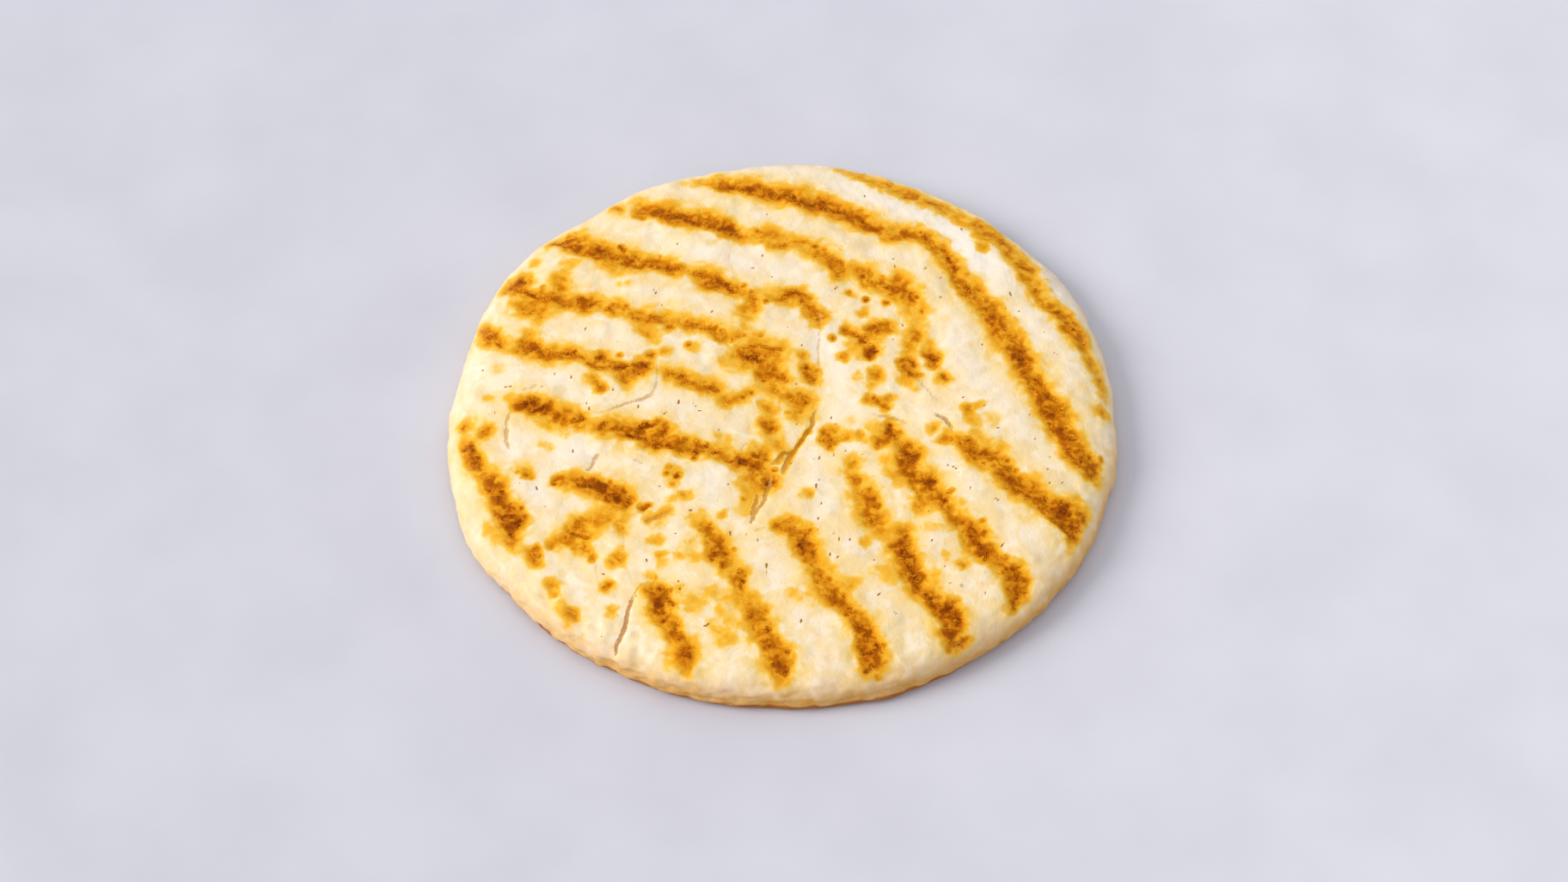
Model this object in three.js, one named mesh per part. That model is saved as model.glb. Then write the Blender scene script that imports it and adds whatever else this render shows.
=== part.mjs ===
// A pocketless pita: one flat round loaf, about 171 mm across and 12 mm thick, lying on its underside.
// The frame has +Z up and its origin on the underside, at the middle of the loaf's plan. Millimetres.
//
// The loaf is one baked piece, so it is one closed solid. It starts as a lathed half section, with a flat
// underside, a rounded rim and a low crown, and the turned shape is then pushed out of true the way dough
// is: the edge gets its dents and corners, and the crown gets its swells and hollows.

import * as THREE from "three";

// Driving dimensions.
const RADIUS = 85.7; // mean radius of the loaf at its widest ring
const THICKNESS = 11.6; // height of the crown, before its swells and hollows
const FOOT_INSET = 2.8; // from the widest ring in to the edge of the flat underside
const WAIST_HEIGHT = 3.2; // height of the widest ring
const SHOULDER_INSET = 14; // from the widest ring in to where the top begins to roll over
const SHOULDER_DROP = 1.3; // how far the shoulder lies below the crown

// How finely the solid is cut.
const SEGMENTS = 96; // round the loaf
const UNDERSIDE_RINGS = 4;
const LOWER_RIM_RINGS = 4;
const UPPER_RIM_RINGS = 6;
const CROWN_RINGS = 14;

// Where the edge leaves the true circle: direction in degrees from +X, width in degrees, push in mm.
const EDGE_LOBES = [
  { name: "right flat", at: 4, width: 10, push: -0.5 },
  { name: "right corner", at: 29, width: 7, push: 0.8 },
  { name: "back bulge", at: 79, width: 9, push: 0.5 },
  { name: "back left flat", at: 108, width: 7, push: -0.4 },
  { name: "back left dent", at: 127.5, width: 3.6, push: -1.8 },
  { name: "back left bulge", at: 138, width: 8, push: 0.5 },
  { name: "left flat", at: 170, width: 6, push: -1.5 },
  { name: "left front bulge", at: 204, width: 9, push: 0.9 },
  { name: "front flat", at: 268, width: 14, push: -0.4 },
  { name: "right front bulge", at: 325, width: 14, push: 0.4 },
];

// How far the foot of the rim wanders in and out: waves round the loaf, size in mm, start in degrees.
const FOOT_WAVES = [
  { waves: 3, size: 0.9, start: 20 },
  { waves: 5, size: 0.6, start: 75 },
];

// Broad swells (+) and hollows (-) of the crown: place, reach and height in mm.
const CROWN_SWELLS = [
  { name: "middle hollow, where the folds meet", x: 4, y: -12, reach: 13, height: -1.1 },
  { name: "back right swell", x: 46, y: 26, reach: 24, height: 0.7 },
  { name: "back left swell", x: -26, y: 52, reach: 24, height: 0.6 },
  { name: "back right hollow", x: 22, y: 22, reach: 12, height: -0.5 },
  { name: "left swell", x: -52, y: 9, reach: 18, height: 0.7 },
  { name: "left hollow", x: -62, y: -22, reach: 12, height: -0.6 },
  { name: "front left hollow", x: -50, y: -52, reach: 15, height: -0.8 },
  { name: "front left swell", x: -18, y: -62, reach: 16, height: 0.9 },
  { name: "front right swell", x: 30, y: -46, reach: 20, height: 0.7 },
  { name: "right swell", x: 62, y: -24, reach: 16, height: 0.5 },
];

// The half section from the middle of the underside, round the rim, to the top of the crown.
function halfSection() {
  const shoulderX = RADIUS - SHOULDER_INSET;
  const shoulderY = THICKNESS - SHOULDER_DROP;
  const slope = SHOULDER_DROP / 24; // of the top at the shoulder
  const middle = new THREE.Vector2(0, 0);
  const foot = new THREE.Vector2(RADIUS - FOOT_INSET, 0);
  const waist = new THREE.Vector2(RADIUS, WAIST_HEIGHT);
  const shoulder = new THREE.Vector2(shoulderX, shoulderY);
  const crown = new THREE.Vector2(0, THICKNESS);

  const underside = new THREE.LineCurve(middle, foot);
  const lowerRim = new THREE.CubicBezierCurve(
    foot,
    new THREE.Vector2(RADIUS - FOOT_INSET * 0.4, 0),
    new THREE.Vector2(RADIUS, WAIST_HEIGHT * 0.45),
    waist,
  );
  const upperRim = new THREE.CubicBezierCurve(
    waist,
    new THREE.Vector2(RADIUS, WAIST_HEIGHT + (shoulderY - WAIST_HEIGHT) * 0.72),
    new THREE.Vector2(RADIUS - SHOULDER_INSET * 0.35, shoulderY - slope * SHOULDER_INSET * 0.65),
    shoulder,
  );
  const top = new THREE.CubicBezierCurve(
    shoulder,
    new THREE.Vector2(shoulderX * 0.7, shoulderY + slope * shoulderX * 0.3),
    new THREE.Vector2(shoulderX * 0.4, THICKNESS),
    crown,
  );
  return [
    ...underside.getPoints(UNDERSIDE_RINGS).slice(0, -1),
    ...lowerRim.getPoints(LOWER_RIM_RINGS).slice(0, -1),
    ...upperRim.getPoints(UPPER_RIM_RINGS).slice(0, -1),
    ...top.getPoints(CROWN_RINGS),
  ];
}

// A bell curve: 1 at 0, fading to nothing by about 3 widths.
function bell(distance, width) {
  return Math.exp(-0.5 * (distance / width) ** 2);
}

// The push on the edge, in mm, in a direction given in degrees.
function edgePush(direction) {
  let push = 0;
  for (const lobe of EDGE_LOBES) {
    const turn = THREE.MathUtils.euclideanModulo(direction - lobe.at + 180, 360) - 180;
    push += lobe.push * bell(turn, lobe.width);
  }
  return push;
}

// How far the foot lies outside its mean circle, in mm, in a direction given in degrees.
function footPush(direction) {
  let push = 0;
  for (const wave of FOOT_WAVES) {
    push += wave.size * Math.sin(THREE.MathUtils.degToRad(wave.waves * direction + wave.start));
  }
  return push;
}

// The lift of the crown, in mm, at a place on the plan.
function crownLift(x, y) {
  let lift = 0;
  for (const swell of CROWN_SWELLS) {
    lift += swell.height * bell(Math.hypot(x - swell.x, y - swell.y), swell.reach);
  }
  return lift;
}

// Pushes every vertex of the turned loaf to its place on the real one. The underside stays flat at z = 0.
function shapeLikeDough(geometry) {
  const position = geometry.attributes.position;
  const point = new THREE.Vector3();
  for (let i = 0; i < position.count; i += 1) {
    point.fromBufferAttribute(position, i);
    const radius = Math.hypot(point.x, point.y);
    const direction = THREE.MathUtils.radToDeg(Math.atan2(point.y, point.x));
    const outward = THREE.MathUtils.smoothstep(radius, 0, RADIUS);
    const low = 1 - THREE.MathUtils.smoothstep(point.z, 0, WAIST_HEIGHT);
    const push = outward * edgePush(direction) + outward ** 4 * low * footPush(direction);
    const stretch = radius > 0 ? (radius + push) / radius : 1;
    point.x *= stretch;
    point.y *= stretch;
    point.z *= 1 + crownLift(point.x, point.y) / THICKNESS;
    position.setXYZ(i, point.x, point.y, point.z);
  }
}

// Moves the loaf so that the origin is at the middle of its plan.
function centreOnPlan(geometry) {
  geometry.computeBoundingBox();
  const middle = geometry.boundingBox.getCenter(new THREE.Vector3());
  geometry.translate(-middle.x, -middle.y, 0);
}

function pitaBread() {
  const geometry = new THREE.LatheGeometry(halfSection(), SEGMENTS);
  geometry.rotateX(Math.PI / 2); // the lathe turns round Y, and the loaf lies with +Z up
  shapeLikeDough(geometry);
  centreOnPlan(geometry);
  geometry.computeVertexNormals();
  const crust = new THREE.MeshStandardMaterial({ color: "#f3ddb0", roughness: 0.8, metalness: 0 });
  const mesh = new THREE.Mesh(geometry, crust);
  mesh.name = "pita_bread";
  return mesh;
}

const loaf = new THREE.Group();
loaf.add(pitaBread());

export default loaf;
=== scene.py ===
# %% [markdown]
# # Pita bread
# One round, pocketless loaf of baked dough, about 171 mm across and 12 mm thick, with a golden to dark
# brown pattern pressed into it by hot grill bars. The real loaf is one piece, so this is one piece too.
# Lengths in this file are metres where Blender takes them and millimetres where a name says mm.

import math

import bpy
import numpy as np
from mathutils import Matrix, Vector


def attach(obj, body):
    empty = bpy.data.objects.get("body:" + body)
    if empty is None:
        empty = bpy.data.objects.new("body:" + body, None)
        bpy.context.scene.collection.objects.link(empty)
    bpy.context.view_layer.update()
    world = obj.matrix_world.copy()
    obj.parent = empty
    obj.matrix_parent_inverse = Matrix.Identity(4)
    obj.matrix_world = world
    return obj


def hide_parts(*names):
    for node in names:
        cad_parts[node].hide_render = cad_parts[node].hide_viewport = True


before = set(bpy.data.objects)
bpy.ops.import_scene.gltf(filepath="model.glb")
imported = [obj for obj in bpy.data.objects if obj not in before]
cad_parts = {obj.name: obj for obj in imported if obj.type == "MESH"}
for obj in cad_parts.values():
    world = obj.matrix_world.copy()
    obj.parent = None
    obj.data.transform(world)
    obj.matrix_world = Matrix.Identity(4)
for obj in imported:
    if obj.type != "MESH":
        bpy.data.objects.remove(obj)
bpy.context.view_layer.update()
MM = 0.001

# %% [markdown]
# The turned CAD loaf is the guide for every larger shape. A copy of it is welded and smoothed, so that
# its facets go and only the soft outline of the dough is left. It is taken away again once the finished
# skin lies on it.

# %% Smooth guide
bpy.ops.object.select_all(action="DESELECT")
cad_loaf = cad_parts["pita_bread"]
guide = bpy.data.objects.new("loaf_guide", cad_loaf.data.copy())
bpy.context.scene.collection.objects.link(guide)
guide.select_set(True)
bpy.context.view_layer.objects.active = guide
bpy.ops.object.mode_set(mode="EDIT")
bpy.ops.mesh.select_all(action="SELECT")
bpy.ops.mesh.remove_doubles(threshold=0.01 * MM)
bpy.ops.mesh.tris_convert_to_quads(face_threshold=math.radians(30), shape_threshold=math.radians(60))
bpy.ops.mesh.normals_make_consistent(inside=False)
bpy.ops.object.mode_set(mode="OBJECT")
smooth = guide.modifiers.new("smooth_dough", "SUBSURF")
smooth.levels = 2
smooth.render_levels = 2
bpy.ops.object.modifier_apply(modifier="smooth_dough")
print("guide faces:", len(guide.data.polygons))

# %% [markdown]
# The top of the skin is a square grid rounded into a disc. A grid keeps the faces of about one size right
# across the crown, where the grill marks are, and a fan of rings would crowd them in the middle.

# %% Crown grid
CROWN_CELLS = 26
CROWN_RADIUS = 76 * MM
CROWN_HEIGHT = 11 * MM
bpy.ops.object.select_all(action="DESELECT")
bpy.ops.mesh.primitive_grid_add(
    x_subdivisions=CROWN_CELLS,
    y_subdivisions=CROWN_CELLS,
    size=2,
    location=(0, 0, 0),
)
loaf = bpy.context.object
loaf.name = "pita_loaf"
loaf.data.name = "pita_loaf"


def square_to_disc(vertices, radius, height):
    """Rounds a grid that spans -1 to 1 into a disc of that radius, at that height."""
    for vertex in vertices:
        x, y = vertex.co.x, vertex.co.y
        vertex.co.x = radius * x * math.sqrt(1 - y * y / 2)
        vertex.co.y = radius * y * math.sqrt(1 - x * x / 2)
        vertex.co.z = height


square_to_disc(loaf.data.vertices, CROWN_RADIUS, CROWN_HEIGHT)
print("crown grid faces:", len(loaf.data.polygons))

# %% [markdown]
# The rim is drawn down from the edge of the disc, ring by ring: out over the shoulder, round the widest
# line and in again to the foot. Each ring is one extrusion, scaled and lowered.

# %% Rim rings
RIM_RINGS = [(81.0, 8.8), (84.5, 6.2), (85.7, 3.4), (84.8, 1.1), (82.3, 0.05)]  # radius and height, mm
bpy.ops.object.mode_set(mode="EDIT")
bpy.ops.mesh.select_mode(type="EDGE")
bpy.ops.mesh.select_all(action="DESELECT")
bpy.ops.mesh.select_non_manifold(extend=False)
ring_radius = CROWN_RADIUS
ring_height = CROWN_HEIGHT
for radius_mm, height_mm in RIM_RINGS:
    grow = radius_mm * MM / ring_radius
    bpy.ops.mesh.extrude_edges_move(
        TRANSFORM_OT_translate={"value": (0, 0, height_mm * MM - ring_height)},
    )
    bpy.ops.transform.resize(value=(grow, grow, 1), center_override=(0, 0, 0))
    ring_radius = radius_mm * MM
    ring_height = height_mm * MM
bpy.ops.object.mode_set(mode="OBJECT")
print("with the rim:", len(loaf.data.polygons), "faces")

# %% [markdown]
# The underside is a second, coarser disc, since little shows there. It is bridged to the last ring of the
# rim, which closes the skin.

# %% Underside
UNDERSIDE_CELLS = 13
UNDERSIDE_RADIUS = 74 * MM
bpy.ops.object.select_all(action="DESELECT")
bpy.ops.mesh.primitive_grid_add(
    x_subdivisions=UNDERSIDE_CELLS,
    y_subdivisions=UNDERSIDE_CELLS,
    size=2,
    location=(0, 0, 0),
)
underside = bpy.context.object
square_to_disc(underside.data.vertices, UNDERSIDE_RADIUS, 0)
loaf.select_set(True)
bpy.context.view_layer.objects.active = loaf
bpy.ops.object.join()
bpy.ops.object.mode_set(mode="EDIT")
bpy.ops.mesh.select_mode(type="EDGE")
bpy.ops.mesh.select_all(action="DESELECT")
bpy.ops.mesh.select_non_manifold(extend=False)
bpy.ops.mesh.bridge_edge_loops()
bpy.ops.mesh.select_all(action="SELECT")
bpy.ops.mesh.tris_convert_to_quads(face_threshold=math.radians(60), shape_threshold=math.radians(80))
bpy.ops.mesh.normals_make_consistent(inside=False)
bpy.ops.object.mode_set(mode="OBJECT")
sides = [len(face.vertices) for face in loaf.data.polygons]
print("closed cage:", len(sides), "faces,", sides.count(3), "of them triangles")

# %% [markdown]
# The cage is divided three times, to faces of about 0.7 mm, and laid on the smooth guide. From here on the
# skin has the loaf's true outline, and everything finer is worked into it.

# %% Fine skin on the guide
bpy.ops.object.select_all(action="DESELECT")
loaf.select_set(True)
bpy.context.view_layer.objects.active = loaf
divide = loaf.modifiers.new("divide", "SUBSURF")
divide.levels = 3
divide.render_levels = 3
bpy.ops.object.modifier_apply(modifier="divide")
wrap = loaf.modifiers.new("lay_on_guide", "SHRINKWRAP")
wrap.target = guide
wrap.wrap_method = "NEAREST_SURFACEPOINT"
bpy.ops.object.modifier_apply(modifier="lay_on_guide")
bpy.data.objects.remove(guide)
triangles = sum(len(face.vertices) - 2 for face in loaf.data.polygons)
print("skin:", len(loaf.data.vertices), "vertices,", triangles, "triangles")

# %% [markdown]
# Dough and scorch marks are irregular at every size. In the mesh, `lumps` is the source of that: a smooth
# random field over space with bumps of a chosen size, always the same for the same seed.

# %% Random lumps
LATTICE = 64  # the random field repeats after this many bumps
LATTICE_SHIFT = 100.5  # puts the middle of the loaf halfway between two points of the lattice
LUMP_GAIN = 1.4  # brings the values to between about -1 and 1


def lumps(points_mm, size_mm, seed):
    """A smooth random value, mostly between -1 and 1, at each point. Bumps are about size_mm across."""
    table = np.random.default_rng(seed).uniform(-1, 1, (LATTICE, LATTICE, LATTICE))
    scaled = points_mm / size_mm + LATTICE_SHIFT
    low = np.floor(scaled).astype(int)
    part = scaled - low
    part = part * part * part * (part * (part * 6 - 15) + 10)
    total = np.zeros(len(scaled))
    for corner in np.ndindex(2, 2, 2):
        cell = (low + corner) % LATTICE
        weight = np.prod(np.where(np.array(corner) == 1, part, 1 - part), axis=1)
        total += weight * table[cell[:, 0], cell[:, 1], cell[:, 2]]
    return total * LUMP_GAIN


def ease(low, high, value):
    """0 at low, 1 at high, and a smooth climb between them."""
    t = np.clip((value - low) / (high - low), 0, 1)
    return t * t * (3 - 2 * t)


def bell(distance, width):
    """1 where the distance is 0, fading smoothly to nothing at about 3 widths."""
    return np.exp(-0.5 * (distance / width) ** 2)


count = len(loaf.data.vertices)
rest = np.zeros(count * 3)
loaf.data.vertices.foreach_get("co", rest)
rest_mm = rest.reshape(-1, 3) / MM
normal = np.zeros(count * 3)
loaf.data.vertices.foreach_get("normal", normal)
normal = normal.reshape(-1, 3)
print("skin spans, mm:", np.round(rest_mm.min(0), 2), np.round(rest_mm.max(0), 2))

# %% [markdown]
# A grill mark is laid down like a brush stroke: a line of points over the plan of the loaf, each with a
# half width in mm and a heat from 0 (raw dough) to 1 (dark brown char). The heat is full along the middle
# of the stroke and fades from there to the end of the halo beside it. Strokes are laid over one another,
# and the hottest wins.
#
# The plan is taken along the loaf's surface. Where the crust rolls over the rim, a little of the height is
# added to the reach, so that a mark that runs over the edge fades down it.

# %% Brush
ROLL = 0.5  # how much of the drop below the shoulder counts as distance outwards
SHOULDER_MM = 9.0  # height where the crust begins to roll over
MARKS_MOVED_MM = (0, -1.2)  # from where they are written down to where they lie
reach = np.hypot(rest_mm[:, 0], rest_mm[:, 1])
drop = np.clip(SHOULDER_MM - rest_mm[:, 2], 0, None)
stretch = 1 + ROLL * drop / np.maximum(reach, 1)
plan = rest_mm[:, :2] * stretch[:, None] - MARKS_MOVED_MM
facing_up = ease(0.0, 1.5, rest_mm[:, 2])  # 0 on the underside


def stroke_heat(places, stroke, halo, glow=0.0):
    """The heat that one stroke gives each place. A stroke of one point is a round dab.
    Glow is the share of the heat that spreads on, to three times the halo."""
    heat = np.zeros(len(places))
    points = np.array(stroke, float)
    if len(points) == 1:
        points = np.vstack([points, points])
    for start, end in zip(points[:-1], points[1:]):
        margin = halo * (3 if glow else 1) + max(start[2], end[2])
        low = np.minimum(start[:2], end[:2]) - margin
        high = np.maximum(start[:2], end[:2]) + margin
        near = np.nonzero(np.all((places > low) & (places < high), axis=1))[0]
        if len(near) == 0:
            continue
        along = end[:2] - start[:2]
        away = places[near] - start[:2]
        share = np.clip(away @ along / max(along @ along, 1e-9), 0, 1)
        gap = np.linalg.norm(away - share[:, None] * along, axis=1)
        half_width = start[2] + share * (end[2] - start[2])
        hottest = start[3] + share * (end[3] - start[3])
        fade = 1 - ease(-0.7 * half_width, halo, gap - half_width)
        spread = glow * (1 - ease(0, 3 * halo, gap - half_width))
        heat[near] = np.maximum(heat[near], hottest * (fade * (1 - glow) + spread))
    return heat


# The edges of the marks are ragged, so the places are shaken a little before the strokes are laid.
SHAKE_COARSE_MM = 0.75
SHAKE_FINE_MM = 0.35
shaken = plan.copy()
for axis in range(2):
    shaken[:, axis] += SHAKE_COARSE_MM * lumps(rest_mm, 4.5, 11 + axis)
    shaken[:, axis] += SHAKE_FINE_MM * lumps(rest_mm, 1.7, 21 + axis)
print("brush ready for", len(plan), "places")

# %% [markdown]
# The wide strokes are the grill bars themselves: bands up to 7 mm wide, most of them 14 to 19 mm from the
# next one. They sweep from the back left, over the crown, and down to the front and the right, and they
# break off, fork and swell on the way. Each point is x, y, half width, heat.

# %% Grill bars over the back
BARS_BACK = [
    [(-25, 77.5, 1, 0.3), (-18, 77.6, 1.3, 0.58), (-13, 75.5, 1.8, 0.68), (-6, 74, 2, 0.68),
     (0, 72, 2.2, 0.7), (6, 69.8, 2.4, 0.68), (12, 67.6, 2.3, 0.68), (18, 65, 2.3, 0.64),
     (24, 61.5, 2.5, 0.62), (28, 58.5, 1.9, 0.52), (33, 58.5, 2, 0.6), (38, 57.4, 1.9, 0.62),
     (41.5, 53.5, 1.8, 0.55), (44, 48, 1.8, 0.6), (46, 43, 2, 0.58), (48.5, 39, 2.5, 0.62),
     (51.5, 34, 2.4, 0.6), (55, 29.5, 2.8, 0.66), (57.5, 24, 2.8, 0.55), (60, 18.5, 3.6, 0.66),
     (62.5, 12.5, 2.9, 0.66), (65.3, 6.5, 2.7, 0.64), (68.8, 0, 3, 0.7), (71, -7, 2.4, 0.64),
     (73.5, -12.5, 2.4, 0.58), (77.5, -17, 2.8, 0.6), (79.5, -21, 1.5, 0.45)],
    [(0, 70, 1.5, 0.45), (1, 68.6, 1, 0.4)],
    [(14.5, 84, 1, 0.42), (18, 81, 1.4, 0.42), (22, 80.5, 1.8, 0.5), (27, 78, 1.8, 0.48),
     (30.5, 74.8, 1.4, 0.5), (34.5, 72.8, 1.7, 0.55), (39.5, 71, 1.3, 0.52), (44, 68.4, 1.8, 0.47),
     (48.5, 64.4, 1.5, 0.42), (52, 61.6, 1.5, 0.52), (56.5, 57.6, 2.2, 0.58), (60, 52.5, 1.8, 0.48),
     (63.5, 47.5, 2.2, 0.56), (65.5, 42.5, 2.5, 0.48), (67, 38.5, 2.1, 0.46), (70.5, 32.5, 2.1, 0.52),
     (74.3, 28.4, 2.1, 0.58), (77.4, 23.4, 1.4, 0.52), (79.5, 18, 1.1, 0.46), (81.8, 12.4, 0.9, 0.48),
     (83.3, 6.5, 0.6, 0.38)],
    [(81.8, 1.2, 1, 0.5)], [(-44, 73, 0.8, 0.35), (-43.6, 69, 0.8, 0.48), (-42.8, 67, 0.5, 0.4)],
    [(-40, 72, 1, 0.3), (-37, 67.5, 2.4, 0.52), (-31, 65.6, 2.8, 0.66), (-25, 63.9, 2.8, 0.7),
     (-19, 61.5, 2.6, 0.7), (-14.5, 59.6, 2.5, 0.7), (-11.5, 57.4, 1.2, 0.6)],
    [(-9, 58, 1.4, 0.4), (-5.5, 57, 2.6, 0.46), (-1, 55, 2, 0.46), (4, 54, 1.9, 0.44),
     (9, 51.6, 2.6, 0.47), (13.5, 47.6, 2.3, 0.52), (14.4, 44.2, 1.2, 0.5)],
    [(17.5, 47.2, 1, 0.38), (21, 44.6, 1.7, 0.54), (25, 41.6, 2, 0.5), (29.5, 39.5, 2.4, 0.58),
     (33, 36, 2.4, 0.6), (33, 34, 2, 0.45), (36.3, 31.4, 1.7, 0.5), (35.6, 28, 1.4, 0.42),
     (34, 24, 1.6, 0.54), (32.2, 19.6, 1.4, 0.45)],
    [(30.5, 43.2, 1.1, 0.52), (32, 39, 1.5, 0.52)],
    [(-61, 56.5, 1, 0.55), (-56.5, 56.5, 2.3, 0.6), (-52, 54.5, 2.4, 0.6), (-48, 52.2, 2.6, 0.66),
     (-44, 50.8, 2.6, 0.6), (-39, 48.3, 2.4, 0.62), (-34, 47.6, 2.3, 0.6), (-29, 46, 1.6, 0.6),
     (-25, 44.8, 0.9, 0.52), (-21, 43.5, 2, 0.6), (-17.5, 41.4, 2.6, 0.66), (-13.8, 38.8, 1.4, 0.6),
     (-11, 38, 0.7, 0.48)],
    [(-57.5, 58.4, 0.8, 0.5), (-54.5, 58.8, 0.9, 0.52), (-51, 57, 1, 0.5), (-47.5, 55, 1.2, 0.48)],
    [(-48.5, 49.6, 1, 0.42), (-46, 48, 1.2, 0.48), (-40, 45.6, 0.9, 0.4)],
]
print("strokes over the back:", len(BARS_BACK))

# %% [markdown]
# The bars of the left half run down from the back left towards the fold in the middle, and break off there.
# The front left corner has a steeper one, along the rim.

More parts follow.
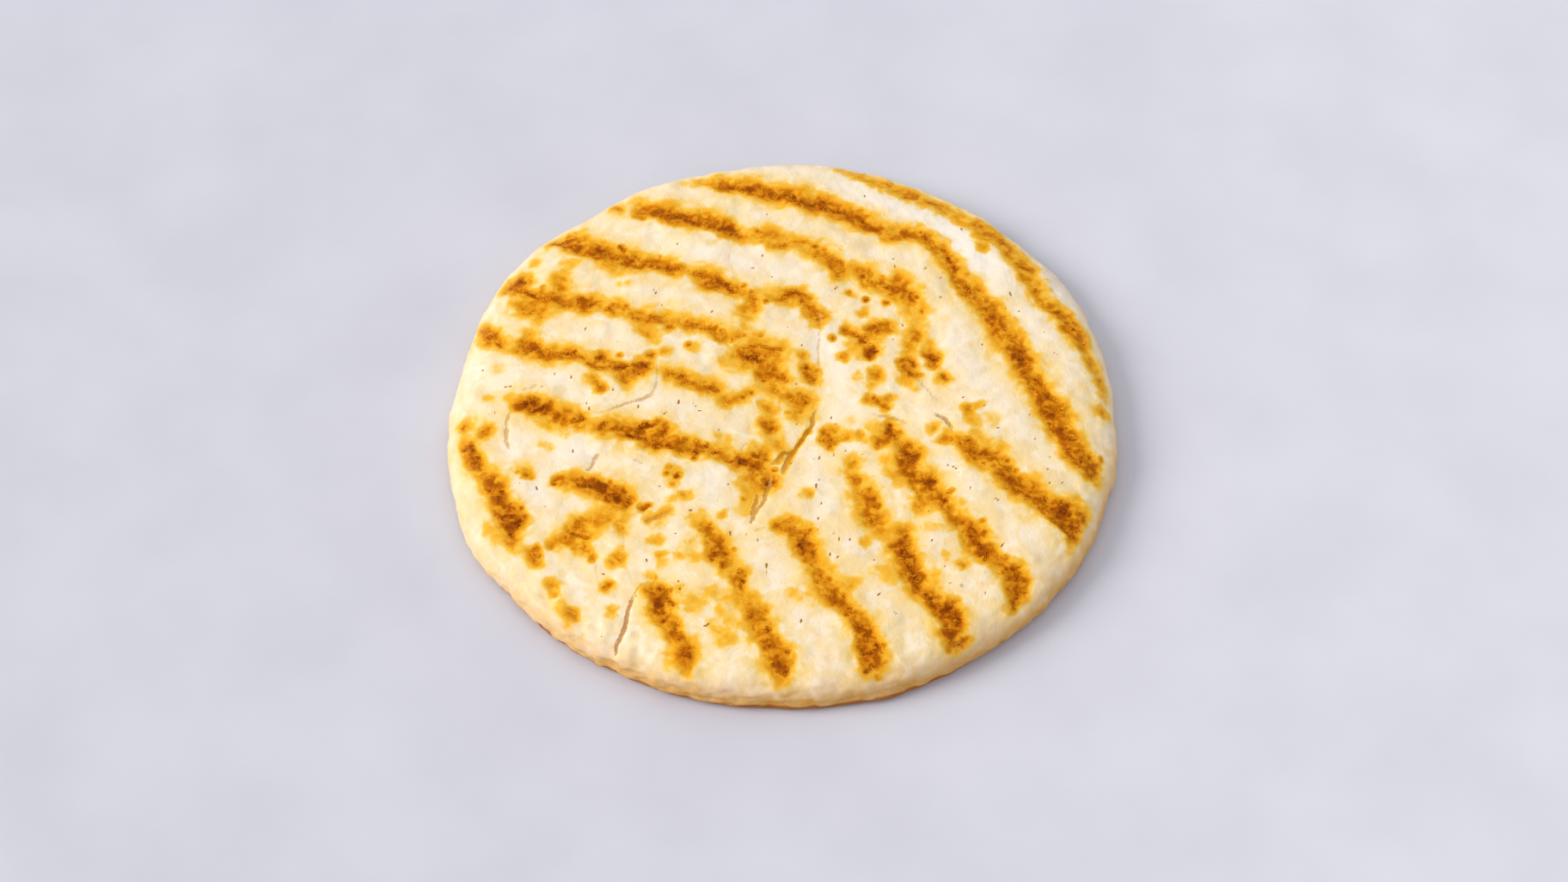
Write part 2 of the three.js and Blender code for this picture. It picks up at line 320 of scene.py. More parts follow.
# %% Grill bars over the left and the middle
BARS_MIDDLE = [
    [(-71.8, 41, 1.1, 0.55), (-70.3, 43, 1.3, 0.68), (-68, 43, 1.2, 0.6), (-67.4, 44.8, 0.7, 0.42)],
    [(-70.5, 40.6, 0.8, 0.6), (-66, 37.6, 1.6, 0.5), (-60, 35.4, 1.9, 0.55), (-55, 34.6, 1.9, 0.52),
     (-50.5, 34.3, 2, 0.6), (-46, 33.4, 1.6, 0.5), (-42.5, 32.6, 1.4, 0.5), (-39, 30.4, 1.3, 0.48),
     (-35, 29.2, 1.8, 0.52), (-31, 29.2, 1.5, 0.5), (-27, 29, 1.2, 0.42), (-23, 27, 1.6, 0.52),
     (-18.5, 25.3, 1.5, 0.56), (-15.4, 24, 1.2, 0.52), (-15, 22.3, 1, 0.42), (-9, 23.5, 1, 0.36),
     (-5.5, 23, 1.4, 0.34)],
    [(-57.3, 43.4, 1.3, 0.42), (-57.3, 39.6, 1.8, 0.55), (-57, 36.6, 1.2, 0.5)],
    [(-69, 35, 1.4, 0.42), (-65.5, 33.2, 2, 0.5), (-62, 31.8, 1.7, 0.46), (-62.6, 29.2, 0.9, 0.35)],
    [(-77, 28.4, 1, 0.5), (-76.2, 25.4, 1.7, 0.6), (-73.4, 22.6, 1.2, 0.52), (-69.5, 21.4, 1.2, 0.38),
     (-65, 20.4, 2, 0.66), (-60.5, 18, 1.7, 0.55), (-55.5, 17.6, 1.3, 0.52), (-51, 15.8, 0.9, 0.48),
     (-47, 14.7, 1.4, 0.48), (-42, 13, 1.7, 0.58), (-40, 10, 1.5, 0.52), (-37, 12, 2, 0.58),
     (-36, 13.6, 1.9, 0.6)],
    [(-65.3, 25, 0.9, 0.4), (-65, 22, 1.6, 0.5)], [(-46.6, 16.8, 1.2, 0.55)],
    [(-40, 9.5, 1, 0.48), (-39.8, 7, 0.6, 0.42)], [(-35, 27.5, 2, 0.34), (-33.5, 23.2, 1.5, 0.32)],
    [(-30, 11.6, 0.8, 0.4), (-26.4, 9.9, 1.3, 0.56), (-22, 7.8, 1.4, 0.5), (-18, 6.6, 1.6, 0.56)],
    [(-15.4, 3.2, 0.8, 0.36), (-13.6, 2.6, 1.3, 0.5), (-10.6, 3.2, 1, 0.42), (-8.4, 4.6, 0.6, 0.38)],
    [(-12.5, 24, 2, 0.3), (-9, 21, 2.4, 0.36), (-3.5, 21.3, 1.8, 0.4), (0.2, 19.4, 0.8, 0.4)],
    [(-13.5, 14.6, 1.6, 0.36), (-10, 17, 2.4, 0.62), (-6, 15, 2.3, 0.66), (-3, 11.6, 2.4, 0.66),
     (0, 9.8, 1.3, 0.6)],
    [(-6, 18.2, 1.2, 0.45), (-2, 17.5, 1.3, 0.42), (-1.5, 14, 2, 0.44)],
    [(-4, 8, 1.6, 0.48), (-2, 6.2, 1.2, 0.46), (0.5, 7, 1, 0.4)],
    [(1, 4.4, 0.6, 0.45), (4.8, 4, 1.6, 0.6), (5.4, 0.8, 1.7, 0.56), (3.8, -2, 0.9, 0.4)],
    [(7.6, 3, 0.8, 0.38), (7.8, -1, 0.6, 0.34)], [(-5, 1.4, 0.7, 0.4), (-3, -0.2, 0.7, 0.48)],
    [(-3.9, -4.5, 1.3, 0.58), (-3.2, -6, 1.4, 0.6)],
    [(-2.4, -8.4, 0.6, 0.35), (-1.2, -10.8, 0.6, 0.45), (-0.6, -12.6, 0.4, 0.35)],
    [(5.8, 17.4, 0.9, 0.5)], [(6.5, 13.3, 1.2, 0.6), (7.4, 10.4, 1.4, 0.56)],
    [(-9.6, 31, 1.2, 0.45), (-7.8, 34.4, 1.5, 0.55), (-7.6, 37, 0.9, 0.5)],
    [(-7, 38.6, 0.6, 0.4), (-3.6, 38, 0.6, 0.42), (-1, 36.4, 0.9, 0.45)],
    [(0.4, 36, 1, 0.55), (2, 37.4, 1.2, 0.62), (4.6, 37.4, 1.2, 0.62), (5.3, 35, 0.9, 0.6),
     (3, 34.6, 1.5, 0.44)],
    [(7.2, 36, 0.6, 0.42), (7.3, 32.3, 1, 0.58), (8.8, 30, 1.3, 0.56), (8.9, 27.6, 0.9, 0.42)],
    [(-66, 0.8, 2, 0.66), (-62, 0.6, 2.5, 0.7), (-57.5, -2, 2.3, 0.6), (-52.3, -3.7, 1.9, 0.6),
     (-48.6, -5.8, 1.3, 0.4), (-45, -6.5, 1.6, 0.62), (-40, -8, 1.9, 0.62), (-34.5, -8, 2.9, 0.6),
     (-30, -11, 2.5, 0.66), (-25, -11.8, 2.7, 0.64), (-20, -13.4, 1.6, 0.5), (-14, -15.6, 1.5, 0.52),
     (-9.5, -16.5, 2, 0.62), (-6.6, -18, 2, 0.56), (-7.5, -22, 2, 0.46), (-8.3, -26, 1.7, 0.44),
     (-8.4, -31, 1.1, 0.4)],
    [(-30, -8, 1.4, 0.55), (-32, -6, 1.4, 0.55)], [(-16, -9.6, 1.3, 0.3), (-15, -13, 1.6, 0.38)],
    [(-7.5, -13, 1, 0.35), (-5.2, -13.6, 1.3, 0.45), (-4.4, -15.6, 0.8, 0.45)],
    [(-4, -21.2, 1, 0.55), (-3.7, -23, 1.4, 0.62), (-5.5, -25, 1, 0.42)],
    [(-79.4, -10.6, 1.5, 0.62), (-77.6, -14.6, 1.6, 0.66), (-76, -18.4, 1.2, 0.5),
     (-73.2, -21.6, 1.7, 0.6), (-71.5, -26.5, 1.7, 0.66), (-69.5, -30.5, 2, 0.68),
     (-67, -34.5, 2.5, 0.76), (-66.8, -39, 1.2, 0.62), (-65.2, -42, 0.8, 0.36)],
    [(-73.4, -36, 0.8, 0.32), (-70, -39, 0.9, 0.36)], [(-81, -3.7, 0.7, 0.46), (-79.4, -3, 0.6, 0.3)],
    [(-80, -7.5, 0.8, 0.3)], [(-76, -6.2, 0.7, 0.5), (-75.3, -5.2, 0.6, 0.45)],
    [(-55.2, -22, 1, 0.56), (-51.5, -23.3, 1.3, 0.6), (-47, -24.4, 1.9, 0.68),
     (-42.5, -26.6, 2.6, 0.72), (-39.8, -28.5, 2, 0.72)],
    [(-41.5, -31, 2.2, 0.48), (-45.5, -34, 2.6, 0.46), (-50.5, -36.5, 2.5, 0.54), (-54, -40, 2, 0.5)],
    [(-40, -35, 1, 0.42), (-39.4, -37.4, 0.8, 0.42)],
    [(-49, -39, 2.4, 0.46), (-51, -42, 1.6, 0.42), (-48.6, -43.4, 0.9, 0.5)],
]
print("strokes over the left and the middle:", len(BARS_MIDDLE))

# %% [markdown]
# In front of the fold the bars turn and run down to the rim, side by side, like the fingers of a hand.

# %% Grill bars over the front and the right
BARS_FRONT = [
    [(-30.4, -55.6, 1.6, 0.66), (-29.8, -59.5, 2.4, 0.72), (-28.8, -63.4, 1.5, 0.66),
     (-26.3, -67, 1.1, 0.6), (-24.8, -71, 1.5, 0.64), (-23.6, -75.6, 1.8, 0.66),
     (-23.3, -78.6, 1, 0.42)],
    [(-20.6, -35.6, 1.3, 0.42), (-18.7, -38.4, 1.9, 0.56), (-16.6, -42, 2.1, 0.64),
     (-15.6, -46, 2.3, 0.68), (-13.6, -49.6, 1.7, 0.5), (-10.9, -52.6, 1.5, 0.58),
     (-10.2, -56.5, 1.1, 0.52), (-8, -60, 1.5, 0.44), (-6, -63.4, 2.1, 0.54), (-4.4, -68, 2.2, 0.6),
     (-2.3, -72.6, 2.6, 0.68), (-0.8, -77, 2.3, 0.68), (-0.3, -80.4, 1.4, 0.42), (0.2, -83.5, 1, 0.26)],
    [(-0.2, -36.6, 1, 0.58), (3.2, -37.4, 1.5, 0.52), (5.2, -40.6, 2, 0.62), (6.2, -44.4, 2.2, 0.68),
     (7.8, -48.6, 2.2, 0.6), (9.4, -53, 2.2, 0.54), (12, -57.4, 2.4, 0.54), (16.4, -62, 1.9, 0.58),
     (18.7, -66, 2.2, 0.66), (21.3, -71, 2.6, 0.68), (22, -76, 2.2, 0.62), (21.6, -79.6, 1.2, 0.46)],
    [(12.6, -52, 1.6, 0.42), (16.8, -53.8, 1, 0.42)],
    [(17.3, -17.6, 1.3, 0.5), (17.6, -20.6, 1.7, 0.48), (20, -25.4, 2.3, 0.54), (21.8, -30, 2.7, 0.6),
     (22.6, -34.6, 2.4, 0.6), (25, -38.2, 1.5, 0.42), (28, -39.2, 1.2, 0.42)],
    [(31, -39.2, 1.2, 0.6), (29.8, -43.4, 2.1, 0.76), (30.6, -48, 1.7, 0.7), (32.8, -53, 2, 0.7),
     (35.6, -57.2, 1.7, 0.64), (39, -60.6, 2.3, 0.7), (41.6, -64.2, 2.6, 0.7), (41.2, -67.8, 2, 0.66),
     (42.2, -71.4, 2, 0.52), (45, -68.8, 0.9, 0.52)],
    [(35.6, -52.2, 1.4, 0.42), (37.6, -53.4, 0.9, 0.4)],
    [(38.6, -57.4, 1, 0.5), (41.4, -59.8, 1, 0.55)],
    [(27.3, -6, 1, 0.62), (27.3, -8.4, 2.2, 0.66), (25, -11.6, 1, 0.5)],
    [(24.2, -5.6, 0.8, 0.38), (24.3, -9, 1, 0.46)],
    [(29, -10.4, 1, 0.5), (32, -12.4, 1.9, 0.6), (32.2, -16.4, 2.1, 0.68), (32, -20, 1.6, 0.6),
     (36.6, -23.4, 2.1, 0.62), (38, -27.6, 2.3, 0.58), (41, -31, 1.8, 0.52), (44.8, -35, 2.1, 0.6),
     (47, -39.4, 2, 0.66), (49.6, -44, 2, 0.7), (52.4, -46.8, 1.6, 0.5), (56.4, -49.6, 2.2, 0.62),
     (58, -53.4, 2.3, 0.6), (57.6, -57.6, 1.6, 0.54), (56.9, -60, 0.9, 0.5)],
    [(27.3, -16.4, 0.8, 0.36), (28.4, -20.6, 1.1, 0.4), (29, -22.6, 0.7, 0.34)],
    [(35.2, -30.2, 1.6, 0.5), (35.6, -27, 1.3, 0.48)], [(60, -57, 0.7, 0.36)],
    [(41.4, -9.6, 0.7, 0.5), (44.6, -10.9, 1, 0.5), (48.6, -13.2, 2.1, 0.58), (52.8, -15, 1.7, 0.58),
     (55.6, -18.4, 2.1, 0.62), (57.2, -22.4, 2.5, 0.64), (61, -26.6, 2.5, 0.6),
     (65.6, -29.4, 2.3, 0.64), (69.6, -31.8, 3, 0.76), (71.4, -35.4, 2.3, 0.66),
     (72.6, -38.8, 1.4, 0.62)],
    [(48.3, -16, 1.3, 0.5), (51.5, -17.4, 0.9, 0.46)], [(50.5, -10.6, 1, 0.4), (55, -12.2, 0.9, 0.36)],
    [(60.6, -22.4, 1.6, 0.48), (63, -25.6, 1.2, 0.44)], [(73, -29.6, 1.1, 0.5), (75.2, -32.8, 1, 0.56)],
    [(72, -41.2, 0.9, 0.42)],
]
print("strokes over the front and the right:", len(BARS_FRONT))

# %% [markdown]
# Between the bars lie loose spots and a few odd shapes: a forked one at the back right, small ovals, a bow,
# and faint buttery patches.

# %% Spots and patches
SPOTS = [
    [(-26, -57.5, 1.8, 0.28), (-18, -57.3, 2.4, 0.31), (-10, -58, 2.2, 0.33)],
    [(-14, -68.2, 3.0, 0.37)], [(-22, -61.6, 1.6, 0.27)], [(-12, -62, 2.0, 0.3)],
    [(3.4, -57.6, 2.0, 0.31)], [(25.6, -51.6, 2.2, 0.31)], [(-22.4, -42.4, 1.8, 0.3)],
    [(32.8, 10.6, 1.8, 0.46)], [(33.4, 30, 1.2, 0.32)],
    [(16.3, 26.2, 0.8, 0.6), (18.2, 24.8, 0.6, 0.6), (20.2, 22.4, 0.9, 0.72), (21.6, 20.2, 0.8, 0.62),
     (22.8, 18, 1.4, 0.76), (22.1, 15.8, 0.6, 0.66)],
    [(22.3, 26.4, 0.9, 0.56), (25.2, 26.6, 2.4, 0.6), (24, 23.2, 1.9, 0.6), (22, 22.4, 1, 0.62)],
    [(27, 28, 1, 0.55), (27.2, 25, 1.1, 0.5)], [(17.8, 21.4, 0.8, 0.34), (18.6, 17.6, 1.2, 0.36)],
    [(16.5, 16.2, 0.9, 0.54)], [(23.3, 10.2, 1.3, 0.56), (22.8, 7.6, 0.9, 0.4)], [(19, 9.8, 0.5, 0.32)],
    [(22.6, 3.8, 0.5, 0.5), (24.6, 2.8, 0.6, 0.56), (25.6, 1, 0.5, 0.54), (26.8, 0.1, 0.4, 0.52)],
    [(26, 2.2, 0.6, 0.46), (28.2, 3.2, 0.8, 0.52)], [(28, 0.8, 1, 0.32)],
    [(10.6, -7.2, 0.8, 0.58), (11.4, -9.2, 1.1, 0.56), (12.8, -10.4, 1, 0.6)],
    [(12.8, -6.6, 0.6, 0.48), (13.6, -8.8, 0.6, 0.46), (16.9, -8.9, 0.5, 0.52)],
    [(20.2, -8.2, 0.3, 0.46), (21.1, -9.2, 0.3, 0.36)], [(5.6, -26.9, 0.8, 0.48)],
    [(17.2, 38.4, 0.8, 0.5)], [(21.2, 31.8, 0.8, 0.42)], [(24, 28.8, 0.8, 0.36)],
    [(30.4, 15, 0.8, 0.6), (32.4, 15.2, 1, 0.62), (33.6, 12.8, 1.1, 0.62), (32, 12, 1.2, 0.6),
     (34.8, 10.8, 0.8, 0.58)],
    [(33, 8.8, 1, 0.42), (33.6, 6.2, 0.5, 0.34)],
    [(36.6, 20.8, 0.5, 0.46), (37.2, 17.6, 0.9, 0.66), (38.6, 16.2, 1, 0.7), (39.6, 13.4, 0.5, 0.5)],
    [(41.4, 9.9, 0.8, 0.56), (40.6, 8.4, 1.6, 0.36)],
    [(46.4, -0.2, 0.6, 0.38), (48, -0.7, 0.8, 0.5), (50, -0.1, 0.6, 0.36)],
    [(48, -1, 0.6, 0.5), (48.1, -4.4, 0.7, 0.42)], [(49, -7.8, 0.8, 0.32)], [(38.3, -6.2, 0.7, 0.46)],
    [(17.5, -3.5, 0.9, 0.16)], [(52.2, 54.6, 0.8, 0.52)], [(-65, 49.4, 0.6, 0.34)],
    [(-57, 48.6, 0.5, 0.42), (-55, 47.4, 0.6, 0.46)], [(-42, 40, 0.5, 0.28), (-40, 40.2, 0.4, 0.26)],
    [(-48.6, 9.4, 0.5, 0.44), (-47.8, 7.4, 0.5, 0.5), (-46.2, 6.2, 0.3, 0.5)],
    [(-36.4, 24.9, 0.6, 0.48), (-35, 24, 0.4, 0.5)], [(-29.4, 26.3, 0.7, 0.6)],
    [(-29.4, 18.1, 0.8, 0.5)], [(-33.1, 17.3, 0.5, 0.66)], [(-22.8, 19.6, 1, 0.3)],
    [(-74.4, 3.8, 0.8, 0.28), (-73, 2.9, 0.6, 0.26)], [(-69.2, 4.6, 0.6, 0.32), (-69, 2.8, 0.7, 0.34)],
    [(-72.4, 14, 0.5, 0.18)],
    [(-67, -17.8, 0.4, 0.3), (-64.6, -18.4, 0.9, 0.42), (-64.2, -20.2, 0.6, 0.5)],
    [(-59.2, -11.4, 0.8, 0.26)], [(-54.4, -8.2, 0.4, 0.2)], [(-34, -30.2, 0.9, 0.6)],
    [(-33, -34, 0.5, 0.48), (-30, -33.2, 0.7, 0.5), (-27.6, -31.6, 0.5, 0.4)],
    [(-61.8, -43.6, 1.1, 0.58), (-60.8, -46.4, 0.9, 0.5)], [(-57, -41.5, 0.7, 0.54)],
    [(-47, -45.6, 0.7, 0.52)],
    [(-39.8, -44, 0.4, 0.4), (-39.6, -46.4, 1, 0.54), (-41.6, -47.4, 0.5, 0.46)],
    [(-42.6, -54.3, 1.3, 0.55)], [(-56.8, -53.4, 1.1, 0.46), (-56.2, -55.6, 0.7, 0.42)],
    [(-54.6, -59, 0.6, 0.3), (-52.6, -61.2, 1, 0.5), (-51, -61.4, 0.7, 0.5)],
    [(-53.4, -63.4, 0.5, 0.38)], [(-49, -67.6, 0.7, 0.2)],
    [(-42.2, -60.8, 0.3, 0.4), (-42.2, -62.2, 0.4, 0.4)], [(-31.2, -40.6, 0.6, 0.44)],
    [(-30, -46, 0.5, 0.44), (-29.6, -48, 0.9, 0.22)], [(-32.4, -51.6, 0.8, 0.38)],
    [(-31.4, -36.4, 0.4, 0.26), (-29.8, -35.4, 0.5, 0.3)], [(-26, -45.2, 0.4, 0.42)],
    [(-24, -43, 1.6, 0.28), (-21.4, -46, 1.4, 0.32)], [(-20.6, -57.8, 2, 0.3), (-16, -58, 1, 0.28)],
    [(-14, -62.6, 0.9, 0.4), (-11, -65, 1.3, 0.34)], [(-15, -67.6, 2.4, 0.34), (-12.4, -69, 1.6, 0.32)],
    [(-24.4, -26.7, 0.6, 0.48)], [(-27.6, -28, 0.5, 0.32)],
    [(-28, -20.4, 1.4, 0.28), (-26.6, -23.6, 0.9, 0.34)], [(-14.8, -33, 0.4, 0.46)],
    [(20.6, -41.7, 0.8, 0.48)], [(2, -57.8, 1.3, 0.27), (5.4, -57.4, 0.9, 0.27), (6.6, -60, 0.6, 0.22)],
    [(22, -50.6, 1, 0.2), (26, -50, 1.4, 0.24), (28, -53.4, 1, 0.22)], [(45.1, -47.6, 0.9, 0.55)],
    [(41, -45.4, 1.2, 0.27)], [(36.6, -37.4, 1.2, 0.2), (40.6, -37, 0.8, 0.3)],
    [(60.4, -33.8, 1.4, 0.18)], [(33.6, -26, 0.4, 0.44), (32.4, -22, 0.4, 0.5)], [(77, 7, 1.2, 0.14)],
    [(53, -4, 1.4, 0.2)], [(49.6, 21, 1.2, 0.14)], [(-10, 27.4, 1.6, 0.3), (-9.6, 25, 1.6, 0.32)],
]
print("spots and patches:", len(SPOTS))

# %% [markdown]
# Inside the bars the crust charred in a broken net of small dark flecks, rings and short lines, with paler
# blisters left between them. These are laid with a short halo: x, y, half width, heat.

# %% Charred flecks of the back
CHARS_BACK = [
    [(-16, 76, 0.7, 0.84), (-13.5, 75.6, 1, 0.95), (-11.5, 74.6, 0.8, 0.88), (-7, 73.9, 0.6, 0.82)],
    [(-6, 75.6, 0.7, 0.82), (-5, 73, 0.9, 0.88), (0, 72, 1, 0.86), (2.6, 71.4, 1.4, 0.97),
     (3.8, 69.8, 0.7, 0.88)],
    [(7, 69, 1, 0.82), (10.4, 69.2, 1.2, 0.92), (9.6, 67.6, 1, 0.93), (13, 67, 0.9, 0.86),
     (15.6, 66.4, 0.9, 0.9)],
    [(17.4, 64.8, 0.6, 0.78), (21, 63.4, 0.7, 0.88), (22.6, 61.6, 0.8, 0.82), (25.2, 60, 1, 0.94)],
    [(29, 57.2, 0.6, 0.72)], [(31.8, 59.6, 0.7, 0.82)], [(33.4, 57.4, 0.6, 0.76)],
    [(36.6, 59, 0.5, 0.78)], [(38, 57, 0.9, 0.86)], [(41, 54, 0.6, 0.72), (42.6, 52.8, 0.5, 0.8)],
    [(43.2, 50, 0.8, 1.0), (44, 47.6, 0.5, 0.82), (45.2, 46, 0.8, 0.93), (45, 44.6, 0.5, 0.86)],
    [(46, 42.4, 0.5, 0.76)], [(48.4, 44.4, 0.4, 0.84)],
    [(48, 40.4, 0.9, 0.92), (48.2, 37.8, 0.8, 0.84)], [(49.8, 38, 0.4, 0.76)], [(51, 34, 0.7, 0.74)],
    [(54.4, 31.6, 0.9, 0.84), (55, 29.4, 0.9, 0.94)], [(53.4, 28.6, 0.5, 0.8)],
    [(57, 27.6, 0.8, 0.82), (57.8, 26, 0.6, 0.78)], [(59, 23, 0.5, 0.72)], [(58, 20, 1, 0.86)],
    [(61, 20, 0.6, 0.88), (61.2, 17.2, 1.4, 1.0), (61.8, 15, 1, 0.88)], [(58, 17.4, 0.6, 0.72)],
    [(63.6, 17.4, 0.5, 0.74)], [(63.4, 14, 0.8, 0.8), (62.8, 12, 0.9, 0.8)],
    [(61, 10.6, 0.6, 0.72), (62.4, 9.6, 0.5, 0.86)], [(65, 9.8, 0.8, 0.98), (66.4, 8, 0.6, 0.86)],
    [(63.8, 7.2, 0.6, 0.86), (65, 5.4, 0.6, 0.84), (65.8, 2.6, 0.6, 0.93)], [(66.6, 6.4, 0.6, 0.8)],
    [(67.6, 4, 1, 0.93), (70, 2.8, 0.9, 0.8)],
    [(66, 0.6, 0.6, 0.86), (67.6, -1, 0.8, 0.93), (69, -1.8, 1.5, 1.0)],
    [(71.2, 1.4, 0.5, 0.84), (71, -0.8, 0.6, 0.8)], [(68, -4.2, 0.5, 0.88), (69.8, -7.6, 0.5, 0.88)],
    [(71.2, -5.8, 0.9, 1.0), (70.4, -6.6, 0.6, 0.93)], [(71.4, -9, 0.8, 0.93), (73.8, -9.4, 0.8, 0.92)],
    [(70.6, -10.8, 0.5, 0.86), (72.4, -14, 0.5, 0.84), (74.6, -17, 0.5, 0.82)], [(72.6, -12, 0.6, 0.8)],
    [(74.8, -15.4, 0.7, 0.97)], [(75.6, -11.6, 0.4, 0.74)],
    [(77.4, -14, 0.5, 0.82), (76.8, -16.6, 0.4, 0.86)], [(80.6, -14.6, 0.5, 0.7)],
    [(78.2, -17, 0.5, 0.8), (79.4, -18.2, 0.4, 0.76), (77.8, -19.2, 0.6, 0.93)],
    [(21.6, 82.4, 0.7, 0.66)], [(29, 78, 0.5, 0.62)], [(33, 72.4, 0.9, 0.8)],
    [(38.6, 71.2, 0.5, 0.66), (41, 70.4, 0.5, 0.7)], [(52.2, 61.8, 0.9, 0.74)], [(55.4, 59, 0.8, 0.66)],
    [(58.6, 56.4, 0.6, 0.86), (56.6, 57, 0.7, 0.68)], [(59, 53, 0.6, 0.72)],
    [(62, 48.6, 0.9, 0.74), (63.4, 47.4, 0.8, 0.8)], [(65.2, 46.8, 0.5, 0.72)], [(66, 40, 0.8, 0.82)],
    [(63.8, 43.4, 0.6, 0.6)], [(66.4, 36.4, 0.6, 0.6)], [(69, 34.2, 0.5, 0.66)],
    [(70.6, 32.2, 0.8, 0.92), (72.2, 32.6, 0.4, 0.78)], [(73.6, 28.8, 0.8, 0.84)],
    [(75, 29.6, 0.5, 0.76)], [(75.2, 27, 0.8, 0.88)], [(77.4, 25, 0.5, 0.82), (78, 22.8, 0.6, 0.84)],
    [(76.8, 21.6, 0.4, 0.68)], [(81.2, 14.6, 0.5, 0.66)], [(82, 11.4, 0.5, 0.72)],
    [(82.4, 8.4, 0.5, 0.6)], [(79.4, 18.4, 0.6, 0.6)],
    [(-43.6, 69.2, 0.5, 0.7), (-43, 67.6, 0.4, 0.64)], [(-36.6, 68, 0.6, 0.84)],
    [(-38.8, 65, 0.5, 0.72), (-36.8, 64.2, 0.6, 0.74)],
    [(-34, 65.6, 1, 0.93), (-31, 64.4, 1.1, 0.88), (-27, 64, 1.3, 0.94), (-23.6, 62.2, 1, 0.95)],
    [(-33.6, 68, 0.4, 0.68)], [(-30, 66.4, 0.7, 0.8)],
    [(-21.6, 62, 0.9, 0.84), (-19, 61, 1.2, 0.86), (-19.4, 63, 0.7, 0.84)],
    [(-16.4, 59.4, 1.3, 0.98), (-13.4, 59.8, 1, 0.9), (-12.2, 58, 0.7, 0.84), (-11.2, 57, 0.4, 0.7)],
    [(-17, 62, 0.6, 0.8)], [(-7, 59, 0.6, 0.76), (-5.4, 58, 0.4, 0.66)], [(-5.8, 55, 0.6, 0.62)],
    [(-2, 56.6, 0.6, 0.72)], [(-1.4, 53.6, 0.4, 0.66), (0.6, 53.4, 0.8, 0.78)],
    [(3.2, 54.8, 0.4, 0.66), (6.6, 54.6, 0.4, 0.7)], [(9, 53.2, 0.5, 0.84)], [(11, 52.4, 0.4, 0.74)],
    [(8.4, 50, 0.5, 0.68)],
    [(11.8, 48, 0.5, 0.74), (13, 49.2, 0.5, 0.8), (15.2, 48.4, 0.5, 0.7), (15.6, 46, 0.5, 0.7),
     (14.2, 44, 0.6, 0.68), (12.4, 46, 0.5, 0.72), (11.8, 48, 0.5, 0.74)],
    [(20, 46, 0.4, 0.66), (22.6, 45.2, 0.4, 0.72)], [(21, 43.8, 0.7, 0.92)],
    [(22.6, 42, 0.4, 0.76), (24.2, 41, 0.4, 0.82)], [(26.4, 42.8, 0.4, 0.76)],
    [(27, 40.2, 0.6, 0.88), (29.8, 38.8, 0.7, 0.9)], [(32.2, 38, 0.8, 0.84), (31.4, 36.4, 0.6, 0.74)],
    [(33.2, 35.4, 0.6, 0.84)], [(34.8, 35.8, 0.5, 0.9)],
    [(30.6, 43.2, 0.6, 0.7), (31.2, 41, 0.5, 0.66)], [(36.4, 31.4, 0.7, 0.68)],
    [(34, 24.4, 0.9, 0.74), (33.6, 22, 0.5, 0.66)], [(32, 20.4, 0.7, 0.6)],
    [(-60.4, 56.6, 0.4, 0.76), (-58.6, 56, 0.8, 0.92), (-57, 55, 0.7, 0.88), (-54, 54.6, 0.6, 0.86),
     (-52.6, 53, 0.5, 0.8)],
    [(-55.4, 58.4, 0.7, 0.72), (-53.6, 58, 0.5, 0.66)],
    [(-53.6, 56.6, 0.4, 0.8), (-53.8, 55, 0.4, 0.84)],
    [(-49, 53.6, 0.6, 0.88), (-48.4, 52.4, 1.2, 1.0)], [(-51, 52.2, 0.5, 0.8)],
    [(-47.2, 50, 0.6, 0.74), (-46, 51.4, 0.6, 0.76)],
    [(-42.6, 54, 0.4, 0.86), (-41.6, 52.8, 0.5, 0.92)],
    [(-44, 49.8, 0.7, 0.72), (-42, 50.6, 0.7, 0.82), (-41, 48.8, 0.7, 0.78)], [(-38.6, 50, 0.4, 0.76)],
    [(-40, 47.6, 0.8, 0.82), (-37.4, 46.6, 0.9, 0.86)],
    [(-34.4, 49, 0.5, 0.82), (-34.8, 47, 0.7, 0.82)], [(-32.4, 50, 0.4, 0.78)],
    [(-32.4, 46.2, 0.5, 0.8)], [(-30, 46, 0.9, 0.92), (-27.4, 45.6, 0.6, 0.82)],
    [(-23, 43.8, 0.6, 0.84), (-20.6, 43.2, 0.9, 0.9)], [(-20, 40.6, 0.6, 0.8), (-18, 41.4, 1, 0.86)],
    [(-17, 42.8, 0.6, 0.82)],
    [(-15.6, 41.6, 0.5, 0.86), (-14.2, 40.2, 1, 0.98), (-13.4, 38.6, 0.7, 0.88)],
    [(-11.4, 38, 0.4, 0.76)], [(-10.3, 40, 0.4, 0.8)],
]
print("charred flecks of the back:", len(CHARS_BACK))

# %% [markdown]
# In the left half the flecks are strung out along thin lines, with a few large blisters near their ends.

